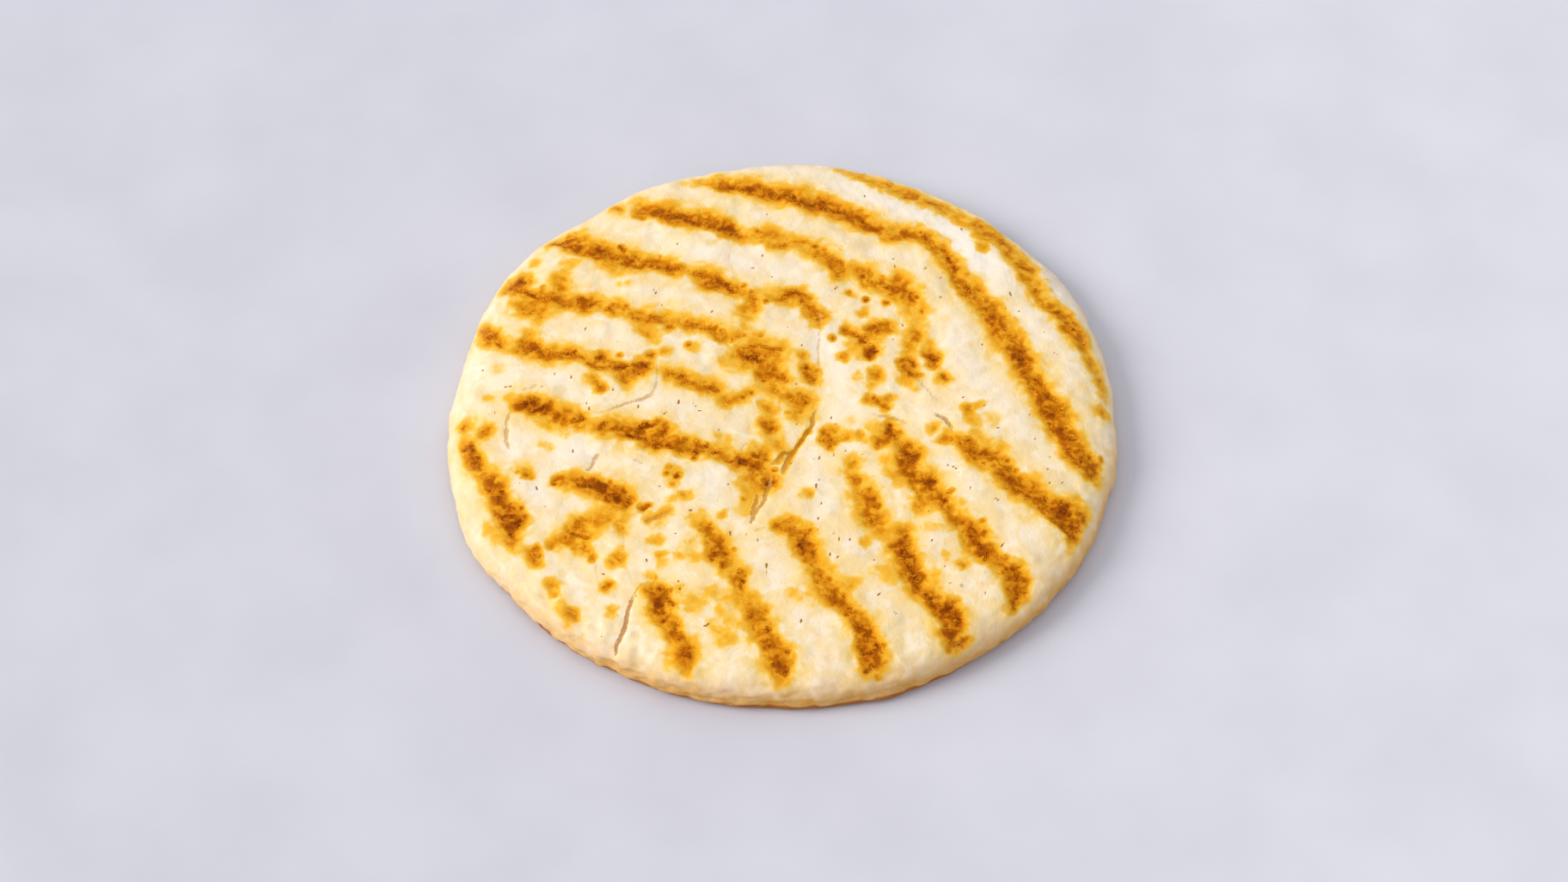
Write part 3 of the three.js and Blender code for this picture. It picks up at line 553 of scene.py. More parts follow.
# %% Charred flecks of the left and the middle
CHARS_MIDDLE = [
    [(-71.6, 41.6, 0.7, 0.86), (-70.6, 43, 0.7, 0.9), (-68.8, 43.6, 0.8, 0.94),
     (-67.8, 42.8, 0.7, 0.84)],
    [(-70.6, 41.2, 0.4, 0.8), (-68.4, 40, 0.4, 0.92), (-66, 38.8, 0.5, 0.97), (-63.4, 36.8, 0.4, 0.9),
     (-61, 36, 0.4, 0.88), (-58.6, 35.6, 0.7, 0.92), (-57, 34.4, 0.5, 0.7)],
    [(-62.4, 40.2, 0.3, 0.7), (-62.6, 38.4, 0.5, 0.72), (-61, 37.6, 0.3, 0.66), (-59, 38, 0.5, 0.7)],
    [(-57.4, 40, 0.8, 0.76)], [(-57.6, 42.6, 0.5, 0.6)], [(-56.4, 37.6, 0.5, 0.62)],
    [(-55.6, 34.2, 0.4, 0.7)], [(-52.4, 35.8, 0.8, 0.97), (-53, 34.2, 0.5, 0.8)],
    [(-51.6, 33.6, 0.5, 0.76), (-49.6, 34, 0.9, 0.95)], [(-51.4, 32.4, 0.4, 0.72)],
    [(-46, 32.2, 0.4, 0.76), (-44.8, 32.4, 0.6, 0.88), (-44.2, 33.8, 0.4, 0.7),
     (-43.2, 33.4, 0.4, 0.66)],
    [(-41.4, 32.4, 0.4, 0.72), (-40.6, 33.2, 0.4, 0.82)], [(-39.2, 31, 0.4, 0.64)],
    [(-38.4, 29, 0.6, 0.76), (-36.4, 29, 0.6, 0.8)], [(-34, 29.8, 0.8, 0.84), (-31.4, 29.2, 0.7, 0.8)],
    [(-68.4, 33.6, 0.5, 0.72), (-66.6, 33.8, 0.5, 0.7)],
    [(-64.4, 32.8, 0.5, 0.86), (-65.4, 31.6, 0.5, 0.7)], [(-62.6, 31.8, 0.6, 0.7)],
    [(-66.4, 35, 0.4, 0.62)], [(-24.6, 28, 0.5, 0.7), (-22.6, 26.6, 0.7, 0.84)],
    [(-20, 25.2, 0.5, 0.8), (-18, 25.2, 0.5, 0.82), (-16.8, 26, 0.5, 0.86)], [(-18.4, 23.8, 0.4, 0.7)],
    [(-15.4, 24.8, 0.4, 0.78), (-14.8, 23, 0.4, 0.74)],
    [(-17.2, 22.3, 0.6, 0.7), (-15.4, 22.1, 0.4, 0.62)],
    [(-13, 21.8, 0.4, 0.78), (-11.4, 22.6, 0.3, 0.7), (-9.8, 23.4, 0.3, 0.62)], [(-6, 23.4, 0.4, 0.84)],
    [(-76.4, 28.2, 0.5, 0.78)], [(-77, 26, 0.5, 0.7), (-75.6, 24.8, 1, 0.84), (-74.6, 24.6, 0.5, 0.8)],
    [(-74, 23, 0.3, 0.74), (-72.6, 21.7, 0.5, 0.88)],
    [(-67.2, 21.2, 0.6, 0.8), (-65.2, 20.6, 0.8, 0.9), (-64.4, 19.8, 0.8, 0.98),
     (-62.8, 20.6, 0.8, 0.97)],
    [(-65.4, 22.2, 0.6, 0.72)],
    [(-62.4, 18.6, 0.4, 0.84), (-61.2, 17.4, 0.3, 0.7), (-59.2, 16.6, 0.4, 0.72)],
    [(-59, 18, 0.5, 0.84), (-57.6, 17.2, 0.4, 0.76)],
    [(-57, 18.2, 0.3, 0.72), (-55.4, 17.6, 0.6, 0.92), (-53, 17.8, 0.5, 0.9)],
    [(-52, 16.8, 0.4, 0.82), (-50.6, 15.6, 0.3, 0.8)],
    [(-49.4, 14.2, 0.5, 0.82), (-47, 13, 0.4, 0.84), (-43.6, 13.2, 0.4, 0.76)],
    [(-47, 16.2, 0.8, 1.0), (-46.2, 17, 0.6, 0.93)], [(-44.4, 15.2, 0.3, 0.74), (-42.6, 14, 0.3, 0.78)],
    [(-41.6, 17, 0.4, 0.68)],
    [(-42.6, 12.4, 0.6, 0.86), (-41, 12.6, 0.8, 1.0), (-40.2, 13.2, 0.5, 1.0)],
    [(-41, 10.6, 0.6, 0.76), (-40.2, 8.6, 0.6, 0.76)],
    [(-38.4, 10.6, 0.4, 0.74), (-36.8, 11, 0.5, 0.88), (-37, 12.4, 0.4, 0.88), (-36.2, 14.2, 0.9, 1.0),
     (-35, 13.2, 0.8, 1.0)],
    [(-38, 13.6, 0.5, 0.86)],
    [(-48.4, 9.4, 0.3, 0.62), (-47.4, 7.2, 0.4, 0.74), (-46.4, 6.1, 0.3, 0.8)],
    [(-35.2, 23.7, 0.4, 0.62)], [(-29.3, 26.3, 0.5, 0.86)], [(-33, 17.2, 0.4, 0.97)],
    [(-24.2, 20.7, 0.4, 0.82)], [(-29.4, 18, 0.5, 0.62)],
    [(-28.6, 10.6, 0.4, 0.82), (-27, 10.5, 0.4, 0.74), (-25.6, 9.8, 0.8, 0.88)],
    [(-22.6, 8.2, 0.5, 0.78), (-21, 7, 0.6, 0.76)], [(-20, 8.6, 0.4, 0.7)],
    [(-19, 6.8, 0.6, 0.84), (-17, 6.1, 0.8, 0.88)], [(-14, 2.3, 0.8, 0.74)], [(-10, 3.4, 0.3, 0.92)],
    [(-8, 4.8, 0.4, 0.86)],
    [(-10.4, 18, 0.7, 0.82), (-9.4, 16.8, 0.9, 0.98), (-7.4, 16.2, 0.9, 1.0), (-5.8, 15, 0.5, 0.92)],
    [(-11, 19, 0.5, 0.7), (-8.4, 19.8, 0.5, 0.78), (-6, 20.3, 0.4, 0.82), (-4, 19.6, 0.4, 0.84),
     (-2.4, 19.5, 0.5, 0.97), (-0.4, 19.3, 0.4, 0.78)],
    [(-3.6, 18.1, 0.4, 0.76), (-1.4, 17.8, 0.3, 0.66)], [(-4.6, 13, 0.8, 0.78), (-3, 11.4, 0.8, 0.78)],
    [(-2, 14, 0.5, 0.68)], [(-1.6, 10.2, 0.9, 0.84), (0.2, 10.1, 0.5, 0.92)], [(-4.2, 9.4, 0.7, 0.9)],
    [(-2.4, 6.4, 0.4, 0.66)], [(1.4, 4.2, 0.3, 0.74)],
    [(4.6, 4.8, 0.7, 0.76), (5.2, 3, 0.9, 0.82), (6.2, 2.6, 0.5, 0.86)],
    [(5.2, 1, 0.4, 0.74), (4.8, -0.6, 0.3, 0.64)], [(1.6, -1, 0.3, 0.6)],
    [(-4.8, 1.2, 0.3, 0.6), (-3.6, 0.2, 0.4, 0.74)], [(-4.2, -4.2, 0.7, 0.78), (-4.4, -5.6, 0.5, 0.76)],
    [(-3.1, -5.8, 0.8, 0.9)], [(-2, -6.4, 0.5, 0.74)], [(-1.2, -10.6, 0.4, 0.58)],
    [(6.2, 13.8, 0.7, 0.94), (7.2, 12.8, 0.6, 0.8)], [(7.4, 10.8, 0.7, 0.72)], [(8.8, 12.4, 0.4, 0.66)],
    [(5.6, 17.6, 0.4, 0.58)], [(-8.2, 38, 0.3, 0.7), (-8, 36, 0.6, 0.76), (-6.6, 35.2, 0.6, 0.72)],
    [(-9.8, 31.4, 0.7, 0.64)], [(-4.1, 34.4, 0.4, 0.88)],
    [(0.2, 35.6, 0.6, 0.8), (1.6, 37.2, 0.8, 0.86), (3.4, 38.2, 0.7, 0.92), (5.2, 37.2, 0.7, 0.84),
     (6.2, 36.6, 0.5, 0.8)],
    [(5.2, 34.8, 0.6, 0.93)], [(7.4, 35.8, 0.4, 0.74)],
    [(7.4, 32.6, 0.6, 0.82), (8.6, 30.8, 0.6, 0.82)], [(11, 29.8, 0.5, 0.66)], [(9, 28.8, 0.6, 0.7)],
    [(-66.2, 1.6, 0.6, 0.93), (-65, 1.4, 0.8, 1.0), (-65, 0.2, 0.6, 0.95)],
    [(-64, 3.2, 0.5, 0.84), (-62, 2.8, 0.4, 0.82)],
    [(-63.6, -0.4, 0.7, 1.0), (-61.6, -0.2, 0.8, 1.0), (-60.6, 1, 0.7, 0.96)],
    [(-63.4, 1.4, 0.3, 0.88)], [(-60.2, 0.6, 0.3, 0.86), (-58.8, -0.4, 0.3, 0.8)],
    [(-58, -1, 0.3, 0.76), (-57.2, -2.4, 0.8, 0.88)], [(-55.6, -1.8, 0.4, 0.74), (-54.6, -3, 0.3, 0.7)],
    [(-53, -4, 0.7, 0.82)], [(-51.4, -2.4, 0.5, 0.76), (-50.6, -3.6, 0.7, 1.0)],
    [(-51.6, -4.6, 0.3, 0.8)], [(-46, -6.4, 0.7, 0.95), (-45, -5.4, 0.5, 0.88)],
    [(-43.6, -7.2, 0.3, 0.84), (-42, -6.6, 0.3, 0.82)], [(-41.6, -7.4, 0.4, 0.84)],
    [(-40.4, -8.6, 0.4, 0.8), (-38.6, -9.2, 0.7, 0.97), (-36, -9.6, 0.6, 1.0), (-34, -9.8, 0.6, 0.92)],
    [(-36.6, -8.4, 0.5, 0.94), (-36.4, -6.4, 0.6, 0.95), (-34.8, -5.4, 0.8, 1.0), (-33, -5.4, 0.6, 1.0),
     (-31.8, -4.6, 0.4, 0.84)],
    [(-31.4, -7, 0.4, 0.78), (-30.2, -8.4, 0.5, 0.9), (-29.6, -6.8, 0.5, 0.94)],
    [(-32.6, -10, 0.4, 0.84), (-30.6, -10.9, 0.6, 1.0)],
    [(-32.6, -11.6, 0.5, 0.86), (-31, -12.6, 0.6, 0.86)],
    [(-28.4, -11, 0.6, 0.98), (-27.8, -12.4, 1, 1.0), (-29, -12.2, 0.5, 0.9)],
    [(-26.6, -11, 0.5, 0.88), (-24.8, -9.8, 0.4, 0.84)], [(-25, -11.8, 0.3, 0.8)],
    [(-23.6, -12.6, 0.6, 0.84)], [(-22, -10.4, 0.5, 0.86), (-21.8, -12, 0.4, 0.86)],
    [(-22.2, -13.4, 0.6, 0.9), (-21.5, -14.4, 0.4, 0.95)], [(-19.7, -11.7, 0.7, 1.0)],
    [(-17.5, -14, 0.4, 1.0), (-16.4, -13.7, 0.3, 0.95)], [(-15.4, -15, 0.3, 0.8)],
    [(-14, -16.2, 0.4, 0.86), (-12.6, -16, 0.3, 0.86)],
    [(-11.4, -15, 0.6, 0.86), (-10.6, -16.4, 1, 1.0), (-9.4, -16, 0.6, 1.0)],
    [(-7.6, -14.6, 0.4, 0.86), (-6.2, -14.6, 0.6, 1.0)],
    [(-4.7, -14, 0.4, 0.86), (-4.4, -15.2, 0.5, 0.94)],
    [(-7.6, -17.2, 0.7, 0.93), (-6.6, -18.2, 0.8, 1.0)], [(-22.4, -15.9, 0.3, 0.95)],
    [(-2, -19.3, 0.3, 0.95)], [(-4.4, -20.8, 0.3, 0.8), (-4.8, -22.4, 0.4, 0.84)],
    [(-4, -23.2, 0.6, 0.94), (-2.6, -22.6, 0.5, 0.95)], [(-8, -21.8, 0.4, 0.66)],
    [(-9.8, -28.4, 0.3, 0.72)], [(-28.6, -19, 0.4, 0.66)], [(-28.8, -20.9, 0.4, 0.68)],
    [(-26.3, -21.4, 0.5, 1.0)], [(-27.1, -24, 0.4, 0.6)], [(-80.4, -11.2, 0.5, 0.98)],
    [(-78.6, -10.6, 0.8, 0.98), (-77.8, -12.4, 0.7, 0.9)], [(-79.2, -13.8, 0.5, 0.8)],
    [(-77, -14.4, 0.7, 0.95)], [(-76.6, -16.4, 0.6, 0.82), (-76, -17.8, 0.5, 0.86)],
    [(-73.8, -21, 0.5, 0.72), (-72, -20.4, 0.6, 0.7)], [(-73.6, -22.8, 0.5, 0.8)],
    [(-72.2, -24, 0.4, 0.76)], [(-70.3, -25.5, 0.5, 1.0)],
    [(-72.2, -27, 0.5, 0.92), (-71.8, -28.6, 0.4, 0.84)],
    [(-70.4, -28, 0.7, 0.98), (-69.4, -29.4, 0.6, 0.88)],
    [(-69.4, -32.4, 0.9, 1.0), (-67.4, -32.4, 0.9, 1.0)],
    [(-65.4, -33.6, 0.7, 1.0), (-65.6, -35.4, 0.6, 1.0)],
    [(-66.9, -36.2, 1, 1.0), (-67.2, -38, 0.8, 0.95)], [(-69.6, -34.2, 0.5, 0.92)],
    [(-65.6, -30.4, 0.5, 0.78)], [(-66.9, -39.4, 0.6, 0.74)], [(-73, -35.6, 0.4, 0.5)],
    [(-81.3, -3.7, 0.5, 0.82)], [(-75.9, -6.2, 0.5, 0.86)], [(-74.9, -5.2, 0.3, 0.72)],
    [(-64.4, -20, 0.4, 0.84)], [(-63.1, -20.8, 0.3, 0.72)], [(-66.4, -19.2, 0.3, 0.56)],
    [(-56.8, -22.9, 0.4, 0.96)], [(-55, -21.6, 0.5, 0.82)], [(-52.6, -22.8, 0.4, 0.74)],
    [(-50.8, -24.2, 0.5, 0.88), (-48.4, -24.4, 0.6, 0.98), (-46.8, -24.8, 0.9, 1.0),
     (-45.4, -25.4, 0.6, 1.0)],
    [(-46.2, -23.4, 0.4, 0.86), (-44.6, -24.4, 0.3, 0.8)], [(-43.2, -23.2, 0.4, 0.76)],
    [(-42, -24.2, 0.4, 0.78)], [(-43.8, -26.6, 0.7, 0.92), (-41.8, -26.4, 0.7, 0.92)],
    [(-43.6, -28.6, 0.8, 0.95)], [(-40.4, -27.2, 0.7, 0.93)], [(-38.4, -28.6, 0.8, 0.98)],
    [(-40.8, -29, 0.7, 0.93)], [(-41.8, -27.8, 0.5, 0.92)],
    [(-34, -30.4, 0.8, 1.0), (-33, -29.8, 0.5, 0.93)],
    [(-33, -34.2, 0.3, 0.66), (-30.4, -33.6, 0.4, 0.64)], [(-43, -34.4, 0.5, 0.72)],
    [(-47.8, -33.6, 0.5, 0.62)], [(-51, -35, 0.9, 0.72), (-51.6, -36.8, 0.7, 0.72)],
    [(-50, -34, 0.5, 0.7)],
    [(-52.4, -37.9, 0.3, 0.86), (-50.2, -38.9, 0.3, 0.9), (-48.2, -39.8, 0.3, 0.86)],
    [(-54.6, -39.8, 0.9, 0.7)], [(-57, -41.6, 0.6, 0.74)], [(-52, -42.2, 0.5, 0.6)],
    [(-49.4, -41, 0.4, 0.7), (-48.8, -43, 0.5, 0.74)], [(-47.2, -46.2, 0.5, 0.72)],
    [(-39.4, -37, 0.4, 0.62)], [(-39.6, -46.4, 0.6, 0.7)], [(-41.6, -47.4, 0.3, 0.6)],
    [(-62, -43.2, 0.8, 0.74), (-61.4, -45.6, 0.5, 0.74)], [(-60.2, -44.4, 0.3, 0.76)],
    [(-43.4, -54.6, 0.5, 0.76), (-42, -54, 0.4, 0.66)], [(-56.8, -53, 0.4, 0.6)],
    [(-56, -55.9, 0.4, 0.62)], [(-52.2, -61.4, 0.6, 0.64)], [(-31.1, -51.7, 0.3, 0.6)],
]
print("charred flecks of the left and the middle:", len(CHARS_MIDDLE))

# %% [markdown]
# The front bars charred the most. The flecks crowd into their lower ends and into the dark corner at the
# right.

# %% Charred flecks of the front and the right
CHARS_FRONT = [
    [(-30, -55, 1, 0.95)], [(-31.6, -57, 0.8, 0.93), (-31.2, -58.6, 0.6, 0.88)],
    [(-29.6, -57.4, 0.5, 0.86)], [(-28, -58.4, 0.4, 0.86), (-26.6, -59.8, 0.4, 0.93)],
    [(-29.2, -60, 0.7, 0.92)], [(-31, -61.4, 0.8, 0.92)], [(-29, -61.8, 0.6, 0.88)],
    [(-28.8, -64, 0.6, 1.0)], [(-27.6, -56, 0.4, 0.78)],
    [(-26, -65.4, 0.4, 0.82), (-26, -67.6, 0.5, 0.86), (-25, -70, 0.4, 0.78)],
    [(-24, -72, 0.8, 0.86), (-24, -74, 0.7, 1.0)], [(-22.6, -74.8, 0.6, 0.93)],
    [(-23.6, -76.4, 0.4, 0.78)], [(-20.2, -38.2, 0.5, 0.7), (-18.4, -38.8, 0.5, 0.7)],
    [(-17.9, -36.3, 0.4, 0.84)], [(-17, -40, 0.5, 0.86)],
    [(-16.4, -42, 0.5, 0.84), (-15.6, -43, 0.6, 0.86)], [(-17.2, -44, 0.4, 0.82)],
    [(-16.8, -45.6, 0.8, 1.0), (-15, -45.2, 0.6, 0.97), (-13.6, -45.4, 0.4, 0.92)],
    [(-17.2, -47.2, 0.5, 0.88)], [(-14.8, -48.8, 0.7, 0.88), (-13.8, -48, 0.4, 0.8)],
    [(-12, -44.5, 0.4, 0.72)], [(-10.6, -51, 0.6, 0.84)], [(-11.4, -52.4, 0.4, 0.76)],
    [(-9.9, -53.8, 0.6, 1.0)], [(-10.2, -55.4, 0.4, 0.88)], [(-8.2, -60.2, 0.3, 0.7)],
    [(-7, -61.8, 0.5, 0.74)], [(-4.2, -62, 0.6, 0.72)], [(-7.5, -63.7, 0.4, 1.0)],
    [(-4.8, -64.2, 0.5, 0.72)], [(-3.7, -67.1, 0.8, 1.0)], [(-5.6, -68.8, 0.5, 0.78)],
    [(-3.8, -70.2, 0.4, 0.84)], [(-3.3, -72.3, 0.8, 1.0)], [(-4.4, -72.6, 0.4, 0.88)],
    [(-1, -71.6, 0.4, 0.78)], [(0.8, -73.4, 0.6, 0.9)], [(-0.6, -75.2, 0.4, 0.78)],
    [(-2, -77.3, 0.7, 1.0), (-1, -76.6, 0.4, 0.88)],
    [(-1, -78.6, 0.4, 0.88), (0.6, -79, 0.6, 0.95), (1.1, -77.6, 0.5, 0.82)], [(2, -76.8, 0.4, 0.72)],
    [(-1.2, -36, 0.4, 0.72), (0, -37.2, 0.5, 0.8)], [(0.6, -35.4, 0.3, 0.66), (2.6, -35, 0.3, 0.6)],
    [(3, -38.8, 0.5, 0.74), (5, -38.6, 0.5, 0.8), (6.4, -38.4, 0.4, 0.8)],
    [(5, -41.4, 1, 0.93), (4.7, -43, 1.1, 1.0), (5.4, -44.8, 0.7, 0.92)], [(6.8, -42.8, 0.5, 0.9)],
    [(6.6, -46.8, 0.5, 0.84)], [(8, -47.6, 0.4, 0.76)], [(8.8, -50.4, 0.5, 0.7)],
    [(8.2, -53.6, 0.4, 0.74)], [(11.5, -53, 0.6, 0.86)], [(9.8, -56.4, 0.4, 0.62)],
    [(12.4, -56.8, 0.5, 0.86), (13.2, -57.8, 0.4, 0.9)], [(13.2, -55.6, 0.4, 0.8)],
    [(15, -57.6, 0.6, 0.9)], [(14.4, -58.6, 0.4, 0.86)], [(13.4, -59.8, 0.5, 1.0)],
    [(16.4, -60.9, 0.5, 0.98)], [(15.4, -62.8, 0.6, 0.98)], [(17.4, -64, 0.4, 0.84)],
    [(19, -65, 0.4, 0.84)], [(18, -66.6, 0.8, 0.95)], [(19.2, -66.6, 0.4, 0.95)],
    [(21.4, -67.6, 0.7, 1.0)], [(20.8, -69, 0.4, 0.76)],
    [(18.9, -71.4, 0.6, 0.9), (19.8, -73.2, 0.6, 0.97), (22, -73.2, 0.6, 0.97), (23.4, -72, 0.6, 0.97),
     (23, -71, 0.7, 1.0)],
    [(24.6, -71.2, 0.4, 0.76)], [(21.6, -76.6, 0.7, 0.92), (23, -77.2, 0.5, 0.86)],
    [(20.4, -78.4, 0.6, 0.95)], [(21.4, -77.8, 0.4, 0.88)], [(25, -75.6, 0.4, 0.68)],
    [(23.4, -80, 0.5, 0.74)], [(17, -17.8, 0.5, 0.62)], [(19, -21.5, 0.4, 0.84)],
    [(16.6, -21.6, 0.4, 0.6)], [(21.6, -25.4, 0.4, 0.84)], [(21, -27.6, 0.7, 0.8)],
    [(22.4, -28.8, 0.4, 0.84)], [(21.2, -30.6, 0.7, 0.74)], [(23.6, -31.2, 0.5, 0.78)],
    [(24.2, -30.4, 0.3, 0.82)], [(21.6, -34.4, 0.6, 0.78), (22.8, -36, 0.7, 0.92)],
    [(24, -34.6, 0.4, 0.78)], [(24, -37.8, 0.4, 0.66)],
    [(31, -39.6, 0.5, 0.86), (30.2, -41, 0.6, 0.93)], [(28.7, -42.4, 0.5, 1.0)],
    [(30, -43, 0.8, 1.0), (29.4, -44.8, 0.9, 1.0), (29.4, -46.4, 0.8, 1.0)], [(31.4, -42, 0.4, 0.86)],
    [(31, -44.6, 0.5, 0.88)],
    [(30.6, -47.4, 0.6, 0.95), (31.6, -49.4, 0.8, 0.97), (32, -51.2, 0.6, 0.97), (32.8, -53, 0.8, 0.98),
     (33.8, -54.8, 0.6, 0.97)],
    [(34.2, -52, 0.5, 0.9)], [(33, -49, 0.4, 0.8)],
    [(35.2, -56.6, 0.5, 1.0), (36.2, -58, 0.5, 0.92), (37.2, -60, 0.5, 0.97)], [(37, -57, 0.4, 0.78)],
    [(38.4, -57.6, 0.5, 0.8)], [(39.2, -61, 0.9, 1.0), (40.8, -60.6, 0.7, 1.0)],
    [(41.8, -59, 0.4, 0.9)], [(38.2, -62.6, 0.4, 0.8)],
    [(42.2, -61.8, 0.6, 0.9), (43.2, -63.4, 0.9, 0.97), (43.2, -65.2, 0.6, 0.93)],
    [(42, -64, 0.5, 0.93)], [(39.8, -64.8, 0.5, 0.92), (40, -66.4, 0.9, 1.0)],
    [(41.6, -67.4, 0.5, 0.86)], [(39.6, -67.6, 0.5, 0.95)],
    [(41.2, -69.8, 0.6, 0.82), (42.4, -70.6, 0.4, 0.76)], [(43.8, -69.8, 0.6, 0.95)],
    [(45.4, -68.4, 0.5, 0.84)], [(40.8, -72, 0.5, 0.8)], [(44.6, -70.4, 0.4, 0.78)],
    [(27.3, -5.4, 0.4, 1.0), (27.2, -7, 0.8, 0.98)], [(27.8, -8.6, 0.8, 0.93), (26.2, -7.6, 0.5, 0.88)],
    [(29.6, -8, 0.4, 0.8)], [(26.4, -10, 0.6, 0.8)], [(28.6, -9.8, 0.4, 0.8)],
    [(24.4, -11, 0.5, 0.82), (24, -12.6, 0.5, 0.76)],
    [(31.8, -11.2, 0.5, 0.84), (30.4, -12.6, 0.4, 0.84)], [(31.4, -14.2, 1, 1.0)],
    [(33, -13.4, 0.4, 0.82)], [(30.2, -15, 0.3, 0.88)],
    [(33.6, -14.8, 0.4, 0.84), (33.4, -16.6, 0.4, 0.84)], [(32.4, -16.2, 0.4, 0.88)],
    [(30.6, -17.4, 0.6, 1.0)], [(31.6, -19, 0.9, 0.97)], [(33.4, -18.6, 0.5, 0.82)],
    [(31.6, -20.6, 0.3, 0.8), (32.6, -23, 0.2, 0.78), (33.6, -26, 0.2, 0.72), (34.6, -29, 0.3, 0.66)],
    [(37.3, -21.4, 0.4, 0.84)], [(37.4, -23, 0.9, 0.97), (36.2, -23.6, 0.5, 0.95)],
    [(38.6, -23, 0.5, 0.9)], [(35.4, -22.2, 0.3, 0.84)], [(37.2, -24.8, 0.4, 0.78)],
    [(38.8, -26, 0.4, 0.72)], [(36.8, -27.6, 0.5, 0.7)],
    [(39.6, -28.4, 0.4, 0.95), (40.6, -29.2, 0.8, 1.0)], [(41.6, -27, 0.4, 0.86)],
    [(42.6, -26.4, 0.3, 0.8)], [(41.3, -31, 0.5, 0.88)], [(35.2, -30, 0.6, 0.66)],
    [(44.6, -35, 0.8, 0.86)], [(46.6, -35.6, 0.7, 0.8)], [(44.8, -37.6, 0.4, 0.86)],
    [(46.2, -39.2, 0.6, 0.95), (47.4, -39.6, 0.6, 1.0)], [(49.8, -38.8, 0.4, 0.93)],
    [(46.8, -38, 0.3, 0.84)],
    [(46.8, -41, 0.5, 0.86), (48.4, -41.6, 0.8, 0.98), (50, -43, 0.7, 0.9), (50.6, -44.8, 0.8, 1.0),
     (50.3, -46.2, 0.5, 0.93)],
    [(48.2, -43.6, 0.4, 0.88), (49, -45, 0.4, 0.9)], [(49.4, -35.4, 0.4, 0.66)],
    [(52.8, -45, 0.5, 0.64)], [(53.4, -46.6, 0.7, 0.72)], [(54.8, -45.6, 0.4, 0.76)],
    [(55, -48.4, 0.4, 0.82)], [(56.8, -48.8, 0.7, 1.0)], [(58, -48.4, 0.5, 0.86)],
    [(54.8, -49.8, 0.5, 0.86)], [(57.6, -51.4, 0.9, 1.0)], [(56, -51, 0.4, 0.86)],
    [(59.4, -52, 0.7, 0.84)], [(55.4, -52, 0.3, 0.8)], [(59.8, -55.2, 0.4, 0.82)],
    [(58.4, -55.6, 0.6, 0.93)], [(56, -54.6, 0.3, 0.76)], [(57, -57.8, 0.8, 0.92)],
    [(58, -56.8, 0.4, 0.84)], [(57.2, -59.8, 0.6, 0.92)], [(53.8, -47.8, 0.3, 0.8)],
    [(41.4, -9.8, 0.3, 0.72), (42.8, -10.2, 0.5, 0.78)], [(45, -11.6, 0.4, 0.97)],
    [(47.2, -10.7, 0.6, 0.92)], [(47.6, -13, 0.6, 0.86), (48.6, -13.8, 0.6, 0.9)],
    [(50, -14, 0.5, 0.88)], [(51.6, -14.4, 0.5, 0.9), (52.6, -14.8, 0.4, 0.84)],
    [(49.2, -12.4, 0.4, 0.74)], [(48.6, -15.6, 0.5, 0.84)], [(50.7, -17, 0.4, 0.86)],
    [(54.8, -16.2, 0.4, 0.78)], [(56.4, -16.6, 0.4, 0.92)], [(55, -19.4, 0.5, 0.84)],
    [(57.6, -19.2, 0.5, 0.9)], [(58.8, -19.4, 0.3, 0.82)],
    [(55.4, -21.2, 0.8, 0.95), (56.8, -22.4, 0.6, 0.9), (57, -23.8, 0.5, 0.92)],
    [(58.6, -21.6, 0.4, 0.8)],
    [(58.6, -25.2, 0.4, 0.88), (60.6, -27.2, 0.5, 0.92), (62, -28.4, 0.6, 0.93)],
    [(62.4, -24.6, 0.5, 0.86)], [(60.6, -23.8, 0.4, 0.7)], [(64.6, -29.4, 0.6, 0.86)],
    [(64.6, -31, 0.5, 0.93)],
    [(63, -29.6, 0.3, 0.84), (66, -33.6, 0.3, 0.8), (69.4, -37, 0.3, 0.84), (71.6, -38.8, 0.3, 0.84)],
    [(67.2, -29, 0.5, 0.88)], [(69.4, -28.6, 0.6, 0.93)], [(71.2, -29.4, 0.8, 1.0)],
    [(67.4, -31, 0.8, 0.98)], [(69.6, -31, 0.8, 1.0)], [(71.8, -31.6, 0.7, 0.98)],
    [(68.4, -32.8, 0.8, 1.0)], [(70.2, -33.6, 0.7, 0.98)], [(67.6, -34.6, 0.6, 0.95)],
    [(69.6, -35.6, 0.7, 0.98)], [(71, -37.2, 0.4, 0.9)], [(72.6, -38.5, 0.6, 0.95)],
    [(73.4, -37.4, 0.3, 0.84)], [(73.6, -33.6, 0.5, 0.78)], [(75.2, -32.8, 0.5, 0.88)],
    [(74, -34.6, 0.4, 0.84)], [(65.6, -27.6, 0.4, 0.76)],
]
print("charred flecks of the front and the right:", len(CHARS_FRONT))

# %% [markdown]
# The loose spots have a few flecks each, and scorched crumbs lie along the open fold.

